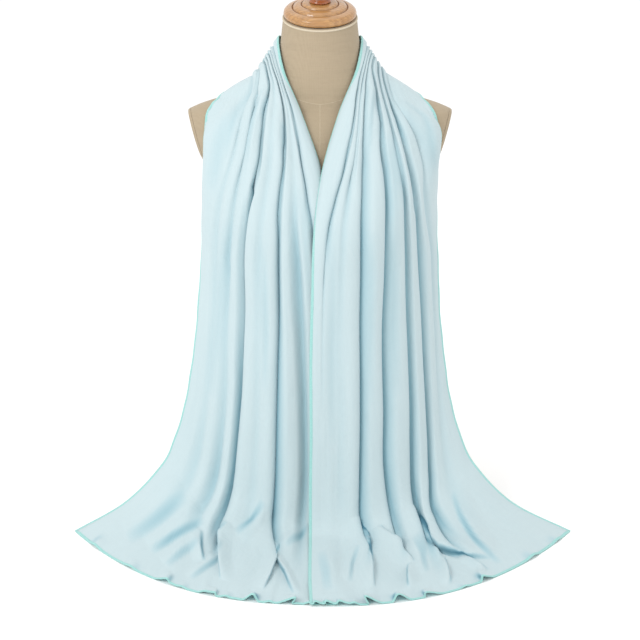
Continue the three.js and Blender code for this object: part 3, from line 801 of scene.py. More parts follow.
FOLD_NAMES = ["at", "f1", "f2", "f3", "f4", "f5", "f6", "f7"]
ROUTE_NAMES = ["at", "innerX", "innerY", "innerZ", "outerX", "outerY", "outerZ",
               "bowY", "bowZ", "raise", "lap"]
BACK_ROUTE = [
    [0, 0, 62, 630, 0, 108, 440, 0.62, 1.0, 15, 0],
    [46, 43, 42, 627, 84, 98, 480, 0.72, 0.95, 13, 0],
    [92, 53.5, 2, 632, 122, 12, 557, 1.0, 0.52, 9, 0],
]
NAPE_PLACES = [0, 0.09, 0.19, 0.30, 0.42, 0.55, 0.69, 0.85]
NAPE_DEPTHS = [0, 12, 17, 15, 18, 16, 17, 11]
NAPE_LAPS = [0, 7, 9, -9, 9, -9, 9, 7]


@dataclass
class Crease:
    """A small crease: its line over the cloth, its height and the widths of its two slopes.

    The line's points are places along the cloth and shares across it. A height below zero is a
    trough.
    """

    line: list[tuple[float, float]]
    height: float
    near: float              # width of the slope towards the inner edge
    far: float               # width of the slope towards the outer edge
    lean: float = 0.0        # how far it leans over to its steeper side, as a share of its height
    to_hem: bool = False     # whether it keeps its height at its last point


@dataclass
class Half:
    """One hanging end of the scarf, from the middle of the nape to its hem."""

    side: int
    route: Curves
    places: Curves
    depths: Curves
    laps: Curves
    widths: list[float]      # how wide each fold's mouth is, beside a sharp fold's
    creases: list[Crease] = field(default_factory=list)


LEFT_CREASES = [
    # on the chest, beside the lapel and over the shoulder
    Crease([(150, 0.23), (200, 0.42), (262, 0.57)], 2.0, 9, 5),
    Crease([(120, 0.36), (165, 0.56), (215, 0.68), (270, 0.78)], -2.2, 8, 10),
    Crease([(180, 0.66), (240, 0.80), (330, 0.88)], -1.8, 12, 14),
    Crease([(300, 0.20), (360, 0.19), (460, 0.18)], -1.6, 9, 9),
    Crease([(380, 0.50), (470, 0.505), (590, 0.49)], -2.0, 7, 9),
    Crease([(360, 0.76), (460, 0.83), (640, 0.84)], -1.8, 14, 16),
    # where the main pleats open
    Crease([(172, 0.270), (190, 0.325), (212, 0.382)], -5.0, 4, 4),
    Crease([(216, 0.195), (240, 0.250), (266, 0.302)], -5.0, 4, 4),
    Crease([(300, 0.357), (350, 0.402), (410, 0.430)], -5.0, 4, 4),
    # where the cloth turns onto the table
    Crease([(812, 0.742), (829, 0.762), (862, 0.785), (902, 0.790)], 5.5, 12, 30, 0.15),
    Crease([(846, 0.692), (878, 0.699), (915, 0.690)], 4.0, 11, 20, 0.1),
    Crease([(832, 0.705), (846, 0.680), (858, 0.655), (882, 0.594)], 6.5, 8, 18, 0.3),
    Crease([(800, 0.600), (823, 0.600), (857, 0.545), (906, 0.462)], 8.0, 18, 5, 0.6),
    Crease([(835, 0.585), (860, 0.565), (890, 0.572), (922, 0.575)], 4.0, 9, 12, 0.2),
    Crease([(738, 0.425), (776, 0.475), (812, 0.525)], 5.0, 14, 12),
    Crease([(795, 0.330), (824, 0.322), (862, 0.312), (912, 0.298)], 8.0, 5, 18, 0.7),
    Crease([(822, 0.325), (834, 0.295), (867, 0.225), (920, 0.160)], 6.5, 12, 6, 0.4),
    Crease([(744, 0.190), (770, 0.245), (800, 0.300)], 3.5, 12, 12),
    Crease([(790, 0.140), (850, 0.120), (900, 0.085)], 3.0, 16, 16),
    Crease([(800, 0.880), (850, 0.900), (905, 0.900)], 4.0, 18, 22, 0.2),
    # curls of the hem
    Crease([(926, 0.912), (950, 0.905)], 3.6, 12, 9, 0.6, True),
    Crease([(926, 0.628), (950, 0.622)], 5.5, 9, 16, 1.0, True),
    Crease([(928, 0.452), (950, 0.446)], 4.6, 8, 20, 1.1, True),
    Crease([(924, 0.310), (950, 0.304)], 9.5, 12, 13, 0.25, True),
    Crease([(924, 0.186), (950, 0.182)], 8.5, 9, 14, 1.35, True),
    Crease([(932, 0.560), (950, 0.555)], 2.2, 10, 10, 0.3, True),
    Crease([(932, 0.400), (950, 0.396)], 2.4, 10, 10, 0.3, True),
    Crease([(934, 0.110), (950, 0.106)], 2.6, 8, 8, 0.5, True),
    Crease([(932, 0.060), (950, 0.056)], 3.4, 8, 8, 0.6, True),
    Crease([(930, 0.760), (950, 0.752)], 2.2, 12, 12, 0.3, True),
]
RIGHT_CREASES = [
    # on the chest and over the shoulder
    Crease([(96, 0.25), (118, 0.330), (150, 0.395), (183, 0.470), (245, 0.655)], -2.4, 5, 6),
    Crease([(100, 0.34), (130, 0.43), (175, 0.49), (212, 0.575)], -2.0, 5, 6),
    Crease([(150, 0.60), (183, 0.815), (221, 0.855), (259, 0.907), (300, 0.955)], -2.4, 9, 9),
    Crease([(130, 0.17), (170, 0.225), (215, 0.28), (262, 0.345)], 1.8, 7, 6),
    Crease([(230, 0.47), (300, 0.60), (370, 0.63)], -1.8, 10, 10),
    Crease([(360, 0.45), (470, 0.455), (600, 0.44)], -2.0, 8, 9),
    Crease([(350, 0.63), (470, 0.64), (610, 0.625)], -2.4, 8, 10),
    Crease([(340, 0.16), (450, 0.165), (640, 0.16)], -1.6, 12, 12),
    # where the main pleats open
    Crease([(160, 0.258), (182, 0.310), (206, 0.362)], -5.0, 4, 4),
    Crease([(242, 0.428), (264, 0.468), (292, 0.503)], -5.0, 4, 4),
    Crease([(262, 0.660), (290, 0.717), (322, 0.764), (356, 0.793)], -6.0, 4, 5),
    # where the cloth turns onto the table
    Crease([(738, 0.290), (752, 0.318), (775, 0.345), (832, 0.318), (902, 0.262)],
           8.0, 26, 5.5, 0.6),
    Crease([(800, 0.262), (839, 0.205), (880, 0.170)], 3.5, 12, 9, 0.2),
    Crease([(770, 0.425), (792, 0.446), (825, 0.480), (862, 0.500)], 8.5, 20, 5.5, 0.6),
    Crease([(862, 0.488), (885, 0.452), (916, 0.402)], 7.0, 7, 16, 0.6),
    Crease([(768, 0.640), (790, 0.655), (828, 0.648), (874, 0.612)], 8.5, 22, 5.5, 0.5),
    Crease([(872, 0.625), (900, 0.575), (934, 0.520)], 6.5, 14, 5.5, 0.5),
    Crease([(815, 0.672), (835, 0.664), (853, 0.666), (873, 0.689), (895, 0.714), (914, 0.750)],
           10.0, 5.5, 28, 0.8),
    Crease([(828, 0.643), (846, 0.640), (864, 0.654), (886, 0.680)], -5.0, 5, 6),
    Crease([(800, 0.870), (829, 0.838), (860, 0.812), (900, 0.775), (929, 0.750)],
           5.5, 9, 20, 0.3),
    Crease([(884, 0.690), (905, 0.680), (935, 0.668)], 5.5, 10, 7, 0.5),
    Crease([(820, 0.560), (850, 0.548), (890, 0.500)], 3.5, 14, 12, 0.1),
    Crease([(810, 0.100), (860, 0.110), (910, 0.100)], 2.6, 18, 18),
    # curls of the hem
    Crease([(932, 0.028), (950, 0.027)], 3.4, 7, 8, 0.9, True),
    Crease([(932, 0.068), (950, 0.067)], 3.8, 7, 8, 0.9, True),
    Crease([(932, 0.112), (950, 0.110)], 3.4, 8, 8, 0.8, True),
    Crease([(934, 0.160), (950, 0.158)], 2.6, 8, 8, 0.5, True),
    Crease([(920, 0.226), (950, 0.229)], 9.5, 10, 12, 1.25, True),
    Crease([(922, 0.326), (950, 0.320)], 10.0, 13, 13, 0.4, True),
    Crease([(924, 0.436), (950, 0.428)], 7.0, 10, 12, 1.1, True),
    Crease([(922, 0.648), (950, 0.640)], 7.0, 9, 12, 1.1, True),
    Crease([(932, 0.560), (950, 0.556)], 2.4, 10, 10, 0.3, True),
    Crease([(928, 0.840), (950, 0.832)], 3.2, 11, 11, 0.5, True),
    Crease([(930, 0.945), (950, 0.940)], 3.0, 8, 8, 0.5, True),
]


def left_half() -> Half:
    """The left end, which passes under the right one's edge."""
    return Half(-1, Curves(ROUTE_NAMES, [
        *BACK_ROUTE,
        [140, 46, -40, 596, 140, -22, 541, 1.2, 0.66, 8, 0],
        [205, 24, -64, 545, 149, -44, 515, 2.2, 1.1, 19, 0],
        [278, -2, -98, 475, 150, -54, 478, 2.6, 1.0, 19, 0],
        [350, -13, -133, 405, 152, -56, 430, 2.8, 1.0, 13, 0],
        [430, -20, -139, 325, 155, -56, 362, 2.7, 1.0, 6, 0],
        [515, -22, -141, 240, 161, -57, 288, 2.6, 1.0, 0, 0],
        [615, -22, -143, 140, 171, -61, 205, 2.6, 1.2, 0, 0],
        [695, -22, -150, 62, 183, -66, 146, 2.6, 1.5, 0, 0],
        [750, -22, -166, 18, 195, -72, 108, 2.6, 1.9, 0, 0],
        [802, -22, -206, 6, 212, -80, 74, 2.6, 2.4, 0, 0],
        [872, -22, -282, 1.2, 259, -101, 29, 2.6, 3.4, 0, 0],
        [950, -22, -357, 0.4, 324, -134, 0.4, 2.65, 3.0, 0, 0],
    ], ("innerX", "outerX")), Curves(FOLD_NAMES, [
        NAPE_PLACES,
        [46, 0.075, 0.155, 0.245, 0.35, 0.46, 0.59, 0.77],
        [92, 0.035, 0.07, 0.11, 0.17, 0.24, 0.34, 0.50],
        [115, 0.025, 0.05, 0.08, 0.12, 0.175, 0.285, 0.42],
        [140, 0.028, 0.052, 0.08, 0.125, 0.185, 0.34, 0.45],
        [170, 0.052, 0.080, 0.112, 0.18, 0.265, 0.39, 0.51],
        [205, 0.078, 0.120, 0.168, 0.26, 0.363, 0.478, 0.58],
        [240, 0.108, 0.175, 0.25, 0.35, 0.455, 0.56, 0.65],
        [278, 0.135, 0.230, 0.325, 0.42, 0.515, 0.63, 0.72],
        [315, 0.135, 0.260, 0.375, 0.47, 0.56, 0.68, 0.78],
        [350, 0.115, 0.275, 0.402, 0.505, 0.605, 0.72, 0.83],
        [430, 0.110, 0.278, 0.436, 0.555, 0.665, 0.78, 0.88],
        [515, 0.110, 0.255, 0.443, 0.56, 0.668, 0.79, 0.89],
        [615, 0.100, 0.226, 0.432, 0.545, 0.648, 0.77, 0.88],
        [695, 0.095, 0.212, 0.415, 0.53, 0.638, 0.76, 0.875],
        [750, 0.095, 0.215, 0.402, 0.52, 0.632, 0.755, 0.87],
        [802, 0.090, 0.205, 0.352, 0.50, 0.637, 0.76, 0.87],
        [872, 0.080, 0.175, 0.28, 0.42, 0.555, 0.70, 0.85],
        [950, 0.070, 0.145, 0.24, 0.36, 0.475, 0.60, 0.78],
    ]), Curves(FOLD_NAMES, [
        NAPE_DEPTHS,
        [46, 12, 15, 15, 15, 13, 10, 6],
        [92, 3, 2, 6, 3, 6, 3, 1],
        [140, 4, 1, 10, 1, 9, 2, 1],
        [205, 6, 0.5, 14, 0.5, 8, 2.5, 1.2],
        [278, 7, 0.5, 17, 1, 6, 2, 1.2],
        [350, 5, 3, 24, 1, 5, 2, 1.2],
        [430, 2, 6, 30, 2, 12, 3, 1.5],
        [515, 1, 8, 34, 2, 20, 3, 1.5],
        [615, 1, 9, 36, 2, 32, 4, 2],
        [695, 1, 9, 33, 2, 32, 6, 3],
        [750, 0, 7, 22, 2, 25, 8, 4],
        [802, 0, 4, 9, 1, 14, 6, 3],
        [872, 0, 0, -2, -1, 1, -2, 0],
        [950, 0, -1, -2, -1, -2, -2, -1],
    ]), Curves(FOLD_NAMES, [
        NAPE_LAPS,
        [92, 3, 1, -3, 1, -4, 2, 2],
        [128, 4, 0, -2.4, 0, -4, 2, 1],
        [165, 5, 0, -5, 0, -4, 0, -1],
        [198, 5, 0, -6, 0, -2.4, -2, -2],
        [228, 6, 0, -5.5, 0, -4, -3, -2],
        [254, 6, 0, -3.6, 0, -4, -3, -1],
        [280, 6, 0, -5, 0, -3, -2, -1],
        [330, 5, 0, -4, 0, 1, -1, 0],
        [365, 5, 0, -6, 0, 2, -1, 0],
        [430, 2, 0, -7, 0, 2.6, 0, 0],
        [515, 0, 0, -8, 0, 3.4, 0, 0],
        [600, 0, 0, -8, 0, 6.5, 0, 0],
        [695, 0, 0, -8, 0, 8.5, 0, 0],
        [802, 0, 0, -5, 0, 6, 0, 0],
        [872, 0, 0, 0, 0, 0, 0, 0],
        [950, 0, 0, 0, 0, 0, 0, 0],
    ]), [0.8, 2.4, 1.0, 2.4, 1.0, 2.2, 2.4], LEFT_CREASES)


def right_half() -> Half:
    """The right end, whose inner edge lies on the left one."""
    return Half(1, Curves(ROUTE_NAMES, [
        *BACK_ROUTE,
        [140, 46, -40, 596, 142, -22, 542, 1.2, 0.66, 8, 0],
        [205, 24, -67, 545, 156, -44, 516, 2.2, 1.1, 17, 0],
        [278, 2, -107, 475, 152, -54, 478, 2.6, 1.0, 17, 0],
        [350, -8, -145, 405, 151, -56, 430, 2.8, 1.0, 9, 0],
        [430, -11, -150, 325, 154, -56, 362, 2.7, 1.0, 3, 0],
        [515, -13, -152, 240, 158, -57, 288, 2.6, 1.0, 0, 0],
        [615, -13, -154, 140, 167, -62, 205, 2.6, 1.2, 0, 0],
        [695, -14, -161, 62, 178, -68, 146, 2.6, 1.5, 0, 0],
        [750, -14, -177, 18, 190, -74, 108, 2.6, 1.9, 0, 3],
        [802, -14, -212, 6, 208, -83, 74, 2.6, 2.4, 0, 5],
        [872, -14, -288, 1.2, 256, -103, 29, 2.6, 3.4, 0, 3.4],
        [950, -12, -361, 0.4, 331, -134, 0.4, 2.5, 3.0, 0, 3],
    ], ("innerX", "outerX")), Curves(FOLD_NAMES, [
        NAPE_PLACES,
        [46, 0.075, 0.15, 0.235, 0.34, 0.45, 0.57, 0.74],
        [92, 0.035, 0.065, 0.10, 0.15, 0.21, 0.29, 0.40],
        [115, 0.028, 0.050, 0.078, 0.125, 0.215, 0.305, 0.42],
        [140, 0.036, 0.068, 0.105, 0.20, 0.282, 0.375, 0.48],
        [170, 0.080, 0.120, 0.165, 0.285, 0.358, 0.430, 0.535],
        [205, 0.140, 0.178, 0.222, 0.36, 0.440, 0.510, 0.62],
        [240, 0.166, 0.222, 0.275, 0.424, 0.530, 0.610, 0.75],
        [278, 0.165, 0.250, 0.325, 0.49, 0.607, 0.700, 0.825],
        [315, 0.130, 0.250, 0.350, 0.52, 0.660, 0.755, 0.85],
        [350, 0.100, 0.235, 0.353, 0.535, 0.690, 0.790, 0.88],
        [430, 0.095, 0.230, 0.360, 0.548, 0.722, 0.822, 0.945],
        [515, 0.095, 0.230, 0.362, 0.537, 0.732, 0.846, 0.955],
        [615, 0.095, 0.225, 0.348, 0.527, 0.720, 0.836, 0.94],
        [695, 0.095, 0.215, 0.326, 0.504, 0.690, 0.809, 0.92],
        [750, 0.095, 0.205, 0.305, 0.505, 0.658, 0.768, 0.895],
        [802, 0.090, 0.195, 0.315, 0.500, 0.635, 0.720, 0.86],
        [872, 0.070, 0.165, 0.27, 0.455, 0.590, 0.710, 0.84],
        [950, 0.060, 0.130, 0.23, 0.34, 0.45, 0.63, 0.81],
    ]), Curves(FOLD_NAMES, [
        NAPE_DEPTHS,
        [46, 11, 15, 15, 15, 14, 10, 6],
        [92, 3, 3, 5, 6, 5, 4, 1],
        [140, 5, 3, 6, 11, 5, 7, 2],
        [205, 8, 2, 7, 15, 4, 12, 2.5],
        [278, 8, 2, 13, 18, 4, 16, 2],
        [350, 5, 1, 20, 15, 8, 14, 2],
        [430, 1, 1, 28, 17, 11, 11, 2],
        [515, 1, 1, 34, 22, 14, 11, 2],
        [615, 0, 1, 36, 25, 18, 12, 2],
        [695, 0, 1, 33, 25, 22, 13, 2],
        [750, 0, 0, 21, 19, 21, 13, 2],
        [802, 0, 0, 8, 9, 15, 13, 2],
        [872, 0, 0, -1, -1, 2, 4, 0],
        [950, 0, -1, -2, -2, -2, -2, -1],
    ]), Curves(FOLD_NAMES, [
        NAPE_LAPS,
        [92, 4, 3, 3, 4, 4, 4, 3],
        [128, 4, 3, 4, 4, 4, 3, 3],
        [147, 4, 3, 4, 2.4, 4, 4, 3],
        [178, 5, 3, 5, 6, 5, 5, 3],
        [212, 6, 3, 5, 5, 5, 4, 4],
        [256, 6, 3, 4, 3.2, 5, 3, 4],
        [290, 6, 2, 4, 5, 5, 3, 3],
        [330, 5, 0, 5, 7, 6, 4, 0],
        [370, 3, 0, 7, 7, 6, 6, 0],
        [430, 1, 0, 8, 7, 6, 7, 0],
        [695, 0, 0, 8, 7, 7, 7, 0],
        [802, 0, 0, 6, 5, 7, 7, 0],
        [872, 0, 0, 0, 0, 0, 2, 0],
        [950, 0, 0, 0, 0, 0, 0, 0],
    ]), [0.8, 1.6, 1.0, 1.1, 1.2, 1.0, 2.4], RIGHT_CREASES)


@dataclass
class FoldRows:
    """The folds as they are in each row: rows by folds of each value."""

    middle: np.ndarray    # shares of the sheet's width, as the reach
    reach: np.ndarray     # half the mouth
    depth: np.ndarray     # millimetres, as the lap
    lap: np.ndarray
    width: np.ndarray     # the sheet's width, one for each row


@dataclass
class Drape:
    """The cloth's middle surface: a smooth sheet with folds, laps and creases pressed into it."""

    shape: FormShape
    clearance: float = 1.6        # the cloth's middle to the form
    over_table: float = 0.6
    hem_at: float = 950.0
    crown: float = 0.055          # rise of a panel between its folds, as a share of its width
    crown_limit: float = 2.8
    crease_shade: float = 0.95
    full_crease: float = 7.0      # heights and depths at which the painted shade is full
    full_fold: float = 9.0
    full_step: float = 10.0
    sharp_width: float = 1.3      # folds wider than this get less painted shade inside
    step_limit: float = 8.0       # how far a lapped panel is stepped down at most
    step_shade: float = 0.8
    mouth_share: float = 0.42     # of the gap beside it, the most that a fold's mouth takes
    lap_limit: float = 0.40
    lap_share: float = 0.2
    lean: float = 0.22
    fuller: float = 1.2           # folds over neck and chest go this much deeper than in the solid
    folds: int = 7
    fold_steps: int = 12
    panel_steps: int = 10
    mouth: Curves = field(default_factory=lambda: Curves(["at", "half"], [
        [0, 8.5], [92, 3.2], [140, 3.4], [205, 4.2], [278, 4.8], [350, 5.2], [515, 5.8],
        [695, 6.4], [802, 8], [872, 11], [950, 9]]))

    def sheet(self, half: Half, share: np.ndarray, at: np.ndarray) -> np.ndarray:
        """Points of the smooth sheet; share runs from the inner edge to the outer."""
        def read(name: str) -> np.ndarray:
            return half.route.read(name, at)
        s = np.clip(share, 0, 1)
        beyond = share - s
        x = read("innerX") + (read("outerX") - read("innerX")) * share
        y = read("innerY") + (read("outerY") - read("innerY")) * (s ** read("bowY") + beyond)
        z = read("innerZ") + (read("outerZ") - read("innerZ")) * (s ** read("bowZ") + beyond)
        lapped = 1 - smoothstep(share, self.lap_share / 2, self.lap_share)
        return np.stack([half.side * x, y + 0 * x, z + read("lap") * lapped], -1)

    def directions(self, half: Half, share: np.ndarray, at: np.ndarray
                   ) -> tuple[np.ndarray, np.ndarray]:
        """The ways across the sheet and out of it."""
        low, high = np.maximum(share - 0.01, 0.004), np.minimum(share + 0.01, 1.0)
        above, below = np.maximum(at - 2, 0.0), np.minimum(at + 2, self.hem_at)
        across = unit(self.sheet(half, high, at) - self.sheet(half, low, at))
        down = unit(self.sheet(half, share, below) - self.sheet(half, share, above))
        return across, unit(np.cross(across, down) * -half.side)

    def bunched(self, half: Half, share: np.ndarray, at: np.ndarray
                ) -> tuple[np.ndarray, np.ndarray, np.ndarray]:
        """The sheet with its bunched middle standing off, and its two directions."""
        across, out = self.directions(half, share, at)
        s = np.clip(share, 0, 1)
        by_neck = smoothstep(at, 30, 85) * (1 - smoothstep(at, 110, 230))
        middle = (1 - by_neck) * np.sqrt(4 * s * (1 - s)) + by_neck * 4.2 * s ** 0.5 * (1 - s) ** 3
        stand = half.route.read("raise", at, gentle=True) * middle
        return self.sheet(half, share, at) + out * stand[..., None], across, out

    def width(self, half: Half, at: np.ndarray) -> np.ndarray:
        """Straight width of the sheet at each place."""
        one = np.ones_like(at)
        return np.linalg.norm(self.sheet(half, one, at) - self.sheet(half, 0 * one, at), axis=-1)

    def room(self, half: Half, share: np.ndarray, at: np.ndarray) -> np.ndarray:
        """How deep the cloth can go before it meets the form or the table."""
        point, _, out = self.bunched(half, share, at)
        to_form = self.shape.distance(point)[0] - self.clearance
        to_table = (point[..., 2] - self.over_table) / np.maximum(out[..., 2], 0.05)
        return np.maximum(np.minimum(to_form, to_table), 0.05)

    def folds_at(self, half: Half, at: np.ndarray) -> FoldRows:
        """The folds at each place along the cloth."""
        def read(table: Curves) -> np.ndarray:
            return np.stack([table.read(f"f{i + 1}", at, gentle=True)
                             for i in range(self.folds)], 1)
        width = self.width(half, at)
        middle = read(half.places)
        ends = np.zeros((len(at), 1))
        gaps = np.diff(np.concatenate([ends, middle, ends + 1], 1), axis=1)
        narrower = np.minimum(gaps[:, :-1], gaps[:, 1:])
        half_mouth = self.mouth.read("half", at, gentle=True) / width
        reach = np.minimum(half_mouth[:, None] * np.array(half.widths),
                           self.mouth_share * narrower)
        wish = read(half.depths)
        room = self.room(half, middle, at[:, None] + 0 * middle)
        fuller = 1 + self.fuller * (1 - smoothstep(at[:, None], 350, 520))
        wish = np.where(wish > 0, wish * fuller, wish)
        depth = np.where(wish > 0, wish / np.hypot(1, wish / room), wish)
        limit = self.lap_limit * narrower * width[:, None]
        lap = np.clip(read(half.laps) * np.minimum(1.0, np.abs(depth) / 5.0), -limit, limit)
        return FoldRows(middle, reach, depth, lap, width)

    def panel_columns(self, folds: FoldRows, panel: int) -> tuple[np.ndarray, ...]:
        """The columns of the flat cloth between two folds.

        Args:
            folds: The folds of each row.
            panel: The panel's number, from the inner edge.

        Returns:
            Their share across, how far they lie below the sheet, slide sideways and stand up
            as a crown, and the shade painted on them where they are stepped down.
        """
        v = (np.arange(1, self.panel_steps) / self.panel_steps)[None, :]
        zero = np.zeros((len(folds.width), 1))
        first, last = panel == 0, panel == self.folds
        start = zero if first else (folds.middle + folds.reach)[:, panel - 1:panel]
        end = zero + 1 if last else (folds.middle - folds.reach)[:, panel:panel + 1]
        span = end - start
        bow = np.minimum(self.crown * span * folds.width[:, None], self.crown_limit)
        tilt = 0 * v + zero
        if not first:      # the panel comes up from under the one that lies over it
            over = np.maximum(folds.lap[:, panel - 1:panel], 0.0)
            tilt = tilt + self.step_of(over, folds.depth[:, panel - 1:panel]) \
                * (1 - smoothstep(v, -0.15, 0.6))
        if not last:
            over = np.maximum(-folds.lap[:, panel:panel + 1], 0.0)
            tilt = tilt + self.step_of(over, folds.depth[:, panel:panel + 1]) \
                * smoothstep(v, 0.4, 1.15)
        return (start + span * v, tilt, 0 * v + zero, bow * 4 * v * (1 - v),
                np.clip(tilt / self.full_step, 0, self.step_shade))

    def fold_columns(self, folds: FoldRows, fold: int, wide: float) -> tuple[np.ndarray, ...]:
        """The columns of one fold.

        Args:
            folds: The folds of each row.
            fold: The fold's number, from the inner edge.
            wide: Its width, as a share of a plain fold's.

        Returns:
            What panel_columns gives.
        """
        q = np.linspace(-1, 1, self.fold_steps + 1)[None, :]
        middle, reach, depth, lap = (part[:, fold:fold + 1] for part in (
            folds.middle, folds.reach, folds.depth, folds.lap))
        inner_over, outer_over = np.maximum(lap, 0.0), np.maximum(-lap, 0.0)
        lean_way = np.where(lap < 0, -1.0, 1.0)
        centre = 0.30 * np.tanh(lap / 3.0)
        warped = np.clip((q - centre) / (1 - np.sign(q - centre) * centre), -1, 1)
        vee = (1 + np.cos(math.pi * warped)) / 2
        # Folds wider than a sharp one get less painted shade inside.
        tight = min(1.0, self.sharp_width / wide)
        step = self.step_of(inner_over, depth) * smoothstep(q, -0.55, 0.5) \
            + self.step_of(outer_over, depth) * (1 - smoothstep(q, -0.5, 0.55))
        reach_mm = reach * folds.width[:, None]
        shift = -np.abs(lap) * np.sin(math.pi * q) * np.minimum(1.0, reach_mm / 4.0)
        shift = shift - lean_way * self.lean * np.abs(depth) * vee \
            * np.minimum(1.0, reach_mm / 4.0)
        return (middle + q * reach, depth * vee + step * (1 - 0.5 * vee), shift, 0 * (q + lap),
                np.maximum(tight * vee * np.clip(depth / self.full_fold, 0, 1),
                           np.clip(step / self.full_step, 0, self.step_shade)))

    def surface(self, half: Half, at: np.ndarray) -> np.ndarray:
        """Points of the folded cloth, and the shade painted on each.

        Args:
            half: Which end.
            at: Places along the cloth, one for each row.

        Returns:
            Rows by columns by 4: the place in millimetres, and the painted shade from 0 to 1.
        """
        folds = self.folds_at(half, at)
        edge = np.zeros((len(at), 1))
        strips = [(edge,) * 5]
        for number in range(self.folds + 1):
            strips.append(self.panel_columns(folds, number))
            if number < self.folds:
                strips.append(self.fold_columns(folds, number, half.widths[number]))
        strips.append((edge + 1,) + (edge,) * 4)
        share, sink, slide, crown, painted_shade = (np.concatenate(part, 1) for part in zip(*strips))

        at_all = at[:, None] + 0 * share
        point, across, out = self.bunched(half, share, at_all)
        hanging = smoothstep(point[..., 2], 4, 40)
        relief, lean, foot = self.soft_relief(half, share, at_all, folds.width)
        lift = crown * hanging - sink + relief
        point = point + out * lift[..., None] + across * (slide + lean)[..., None]
        point = self.shape.push_out(point, self.clearance)
        point[..., 2] = np.maximum(point[..., 2], self.over_table)
        # Painted shade of the folds and stepped panels, with the painted shade at the creases'
        # feet.
        painted_shade = np.clip(painted_shade + foot, 0, 1)
        return np.concatenate([point, painted_shade[..., None]], -1)

    def step_of(self, over: np.ndarray, depth: np.ndarray) -> np.ndarray:
        """How far a panel that lies under its neighbour is stepped down."""
        return np.minimum(over * 1.1, self.step_limit) * np.minimum(1.0, np.abs(depth) / 10.0)

    def soft_relief(self, half: Half, share: np.ndarray, at: np.ndarray, width: np.ndarray
                    ) -> tuple[np.ndarray, np.ndarray, np.ndarray]:
        """Broad swells, an unsteady edge and the small creases.

        Args:
            half: Which end.
            share: Share across the cloth, for each point.
            at: Place along it, for each point.
            width: The sheet's width at each row.

        Returns:
            The heights above the sheet, how far each point leans over sideways, and how much
            shade is painted on it beside a crease.
        """
        inside = smoothstep(share, 0.0, 0.12) * (1 - smoothstep(share, 0.9, 1.0))
        hangs = smoothstep(at, 90, 200) * (1 - smoothstep(at, 700, 900))
        phase = 1.7 if half.side > 0 else 0.4
        swell = 0.9 * np.sin(share * 17 + at / 95 + phase) \
            + 0.7 * np.sin(share * 29 - at / 140 + 2.1 * phase)
        edge = 1 - smoothstep(share, 0.0, 0.05) + smoothstep(share, 0.955, 1.0)
        flutter = 0.7 * np.sin(at / 13 + phase) * np.sin(at / 37)
        relief = swell * inside * hangs + flutter * edge * hangs
        lean, foot = np.zeros(share.shape), np.zeros(share.shape)
        for crease in half.creases:
            height, shade = self.crease_height(crease, share * width[:, None], at, width)
            relief = relief + height
            lean = lean + crease.lean * height * (1 if crease.far < crease.near else -1)
            foot = np.maximum(foot, shade)
        return relief, lean, foot

    def crease_height(self, crease: Crease, x: np.ndarray, at: np.ndarray, width: np.ndarray
                      ) -> tuple[np.ndarray, np.ndarray]:
        """The height of one crease over the cloth, and its painted shade.

        Args:
            crease: The crease.
            x: Millimetres across the cloth from the inner edge.
            at: Millimetres along it.
            width: The sheet's width at each row.

        Returns:
            The height at each point, and from 0 to 1 the shade painted at the foot of the
            steeper slope or in the trough.
        """
        line = np.array([(a, s * np.interp(a, at[:, 0], width)) for a, s in crease.line])
        lengths = np.linalg.norm(np.diff(line, axis=0), axis=1)
        total, gone = lengths.sum(), 0.0
        best = np.full(x.shape, 1e9)
        height, shade = np.zeros(x.shape), np.zeros(x.shape)
        steep_far = crease.far < crease.near
        for (a0, x0), (a1, x1), length in zip(line[:-1], line[1:], lengths):
            da, dx = (a1 - a0) / length, (x1 - x0) / length
            t = np.clip((at - a0) * da + (x - x0) * dx, 0, length)
            off_a, off_x = at - a0 - t * da, x - x0 - t * dx
            away = np.hypot(off_a, off_x)
            side = off_x * da - off_a * dx
            slope = np.where(side > 0, crease.far, crease.near)
            share = (gone + t) / total
            if crease.to_hem:
                taper = smoothstep(share, 0.0, 0.8)
            else:
                taper = np.sin(math.pi * np.clip(share, 0.0, 1.0)) ** 0.6
            near_line = np.clip(1 - away / slope, 0.0, 1.0)
            rise = crease.height * taper * near_line * near_line * (3 - 2 * near_line)
            on_steep = (side > 0) == steep_far
            foot = 4 * near_line * (1 - near_line) * on_steep if crease.height > 0 else near_line
            nearer = away < best
            height = np.where(nearer, rise, height)
            full = min(abs(crease.height) / self.full_crease, 1.0)
            shade = np.where(nearer, foot * taper * full, shade)
            best = np.minimum(best, away)
            gone += length
        return height, shade * self.crease_shade


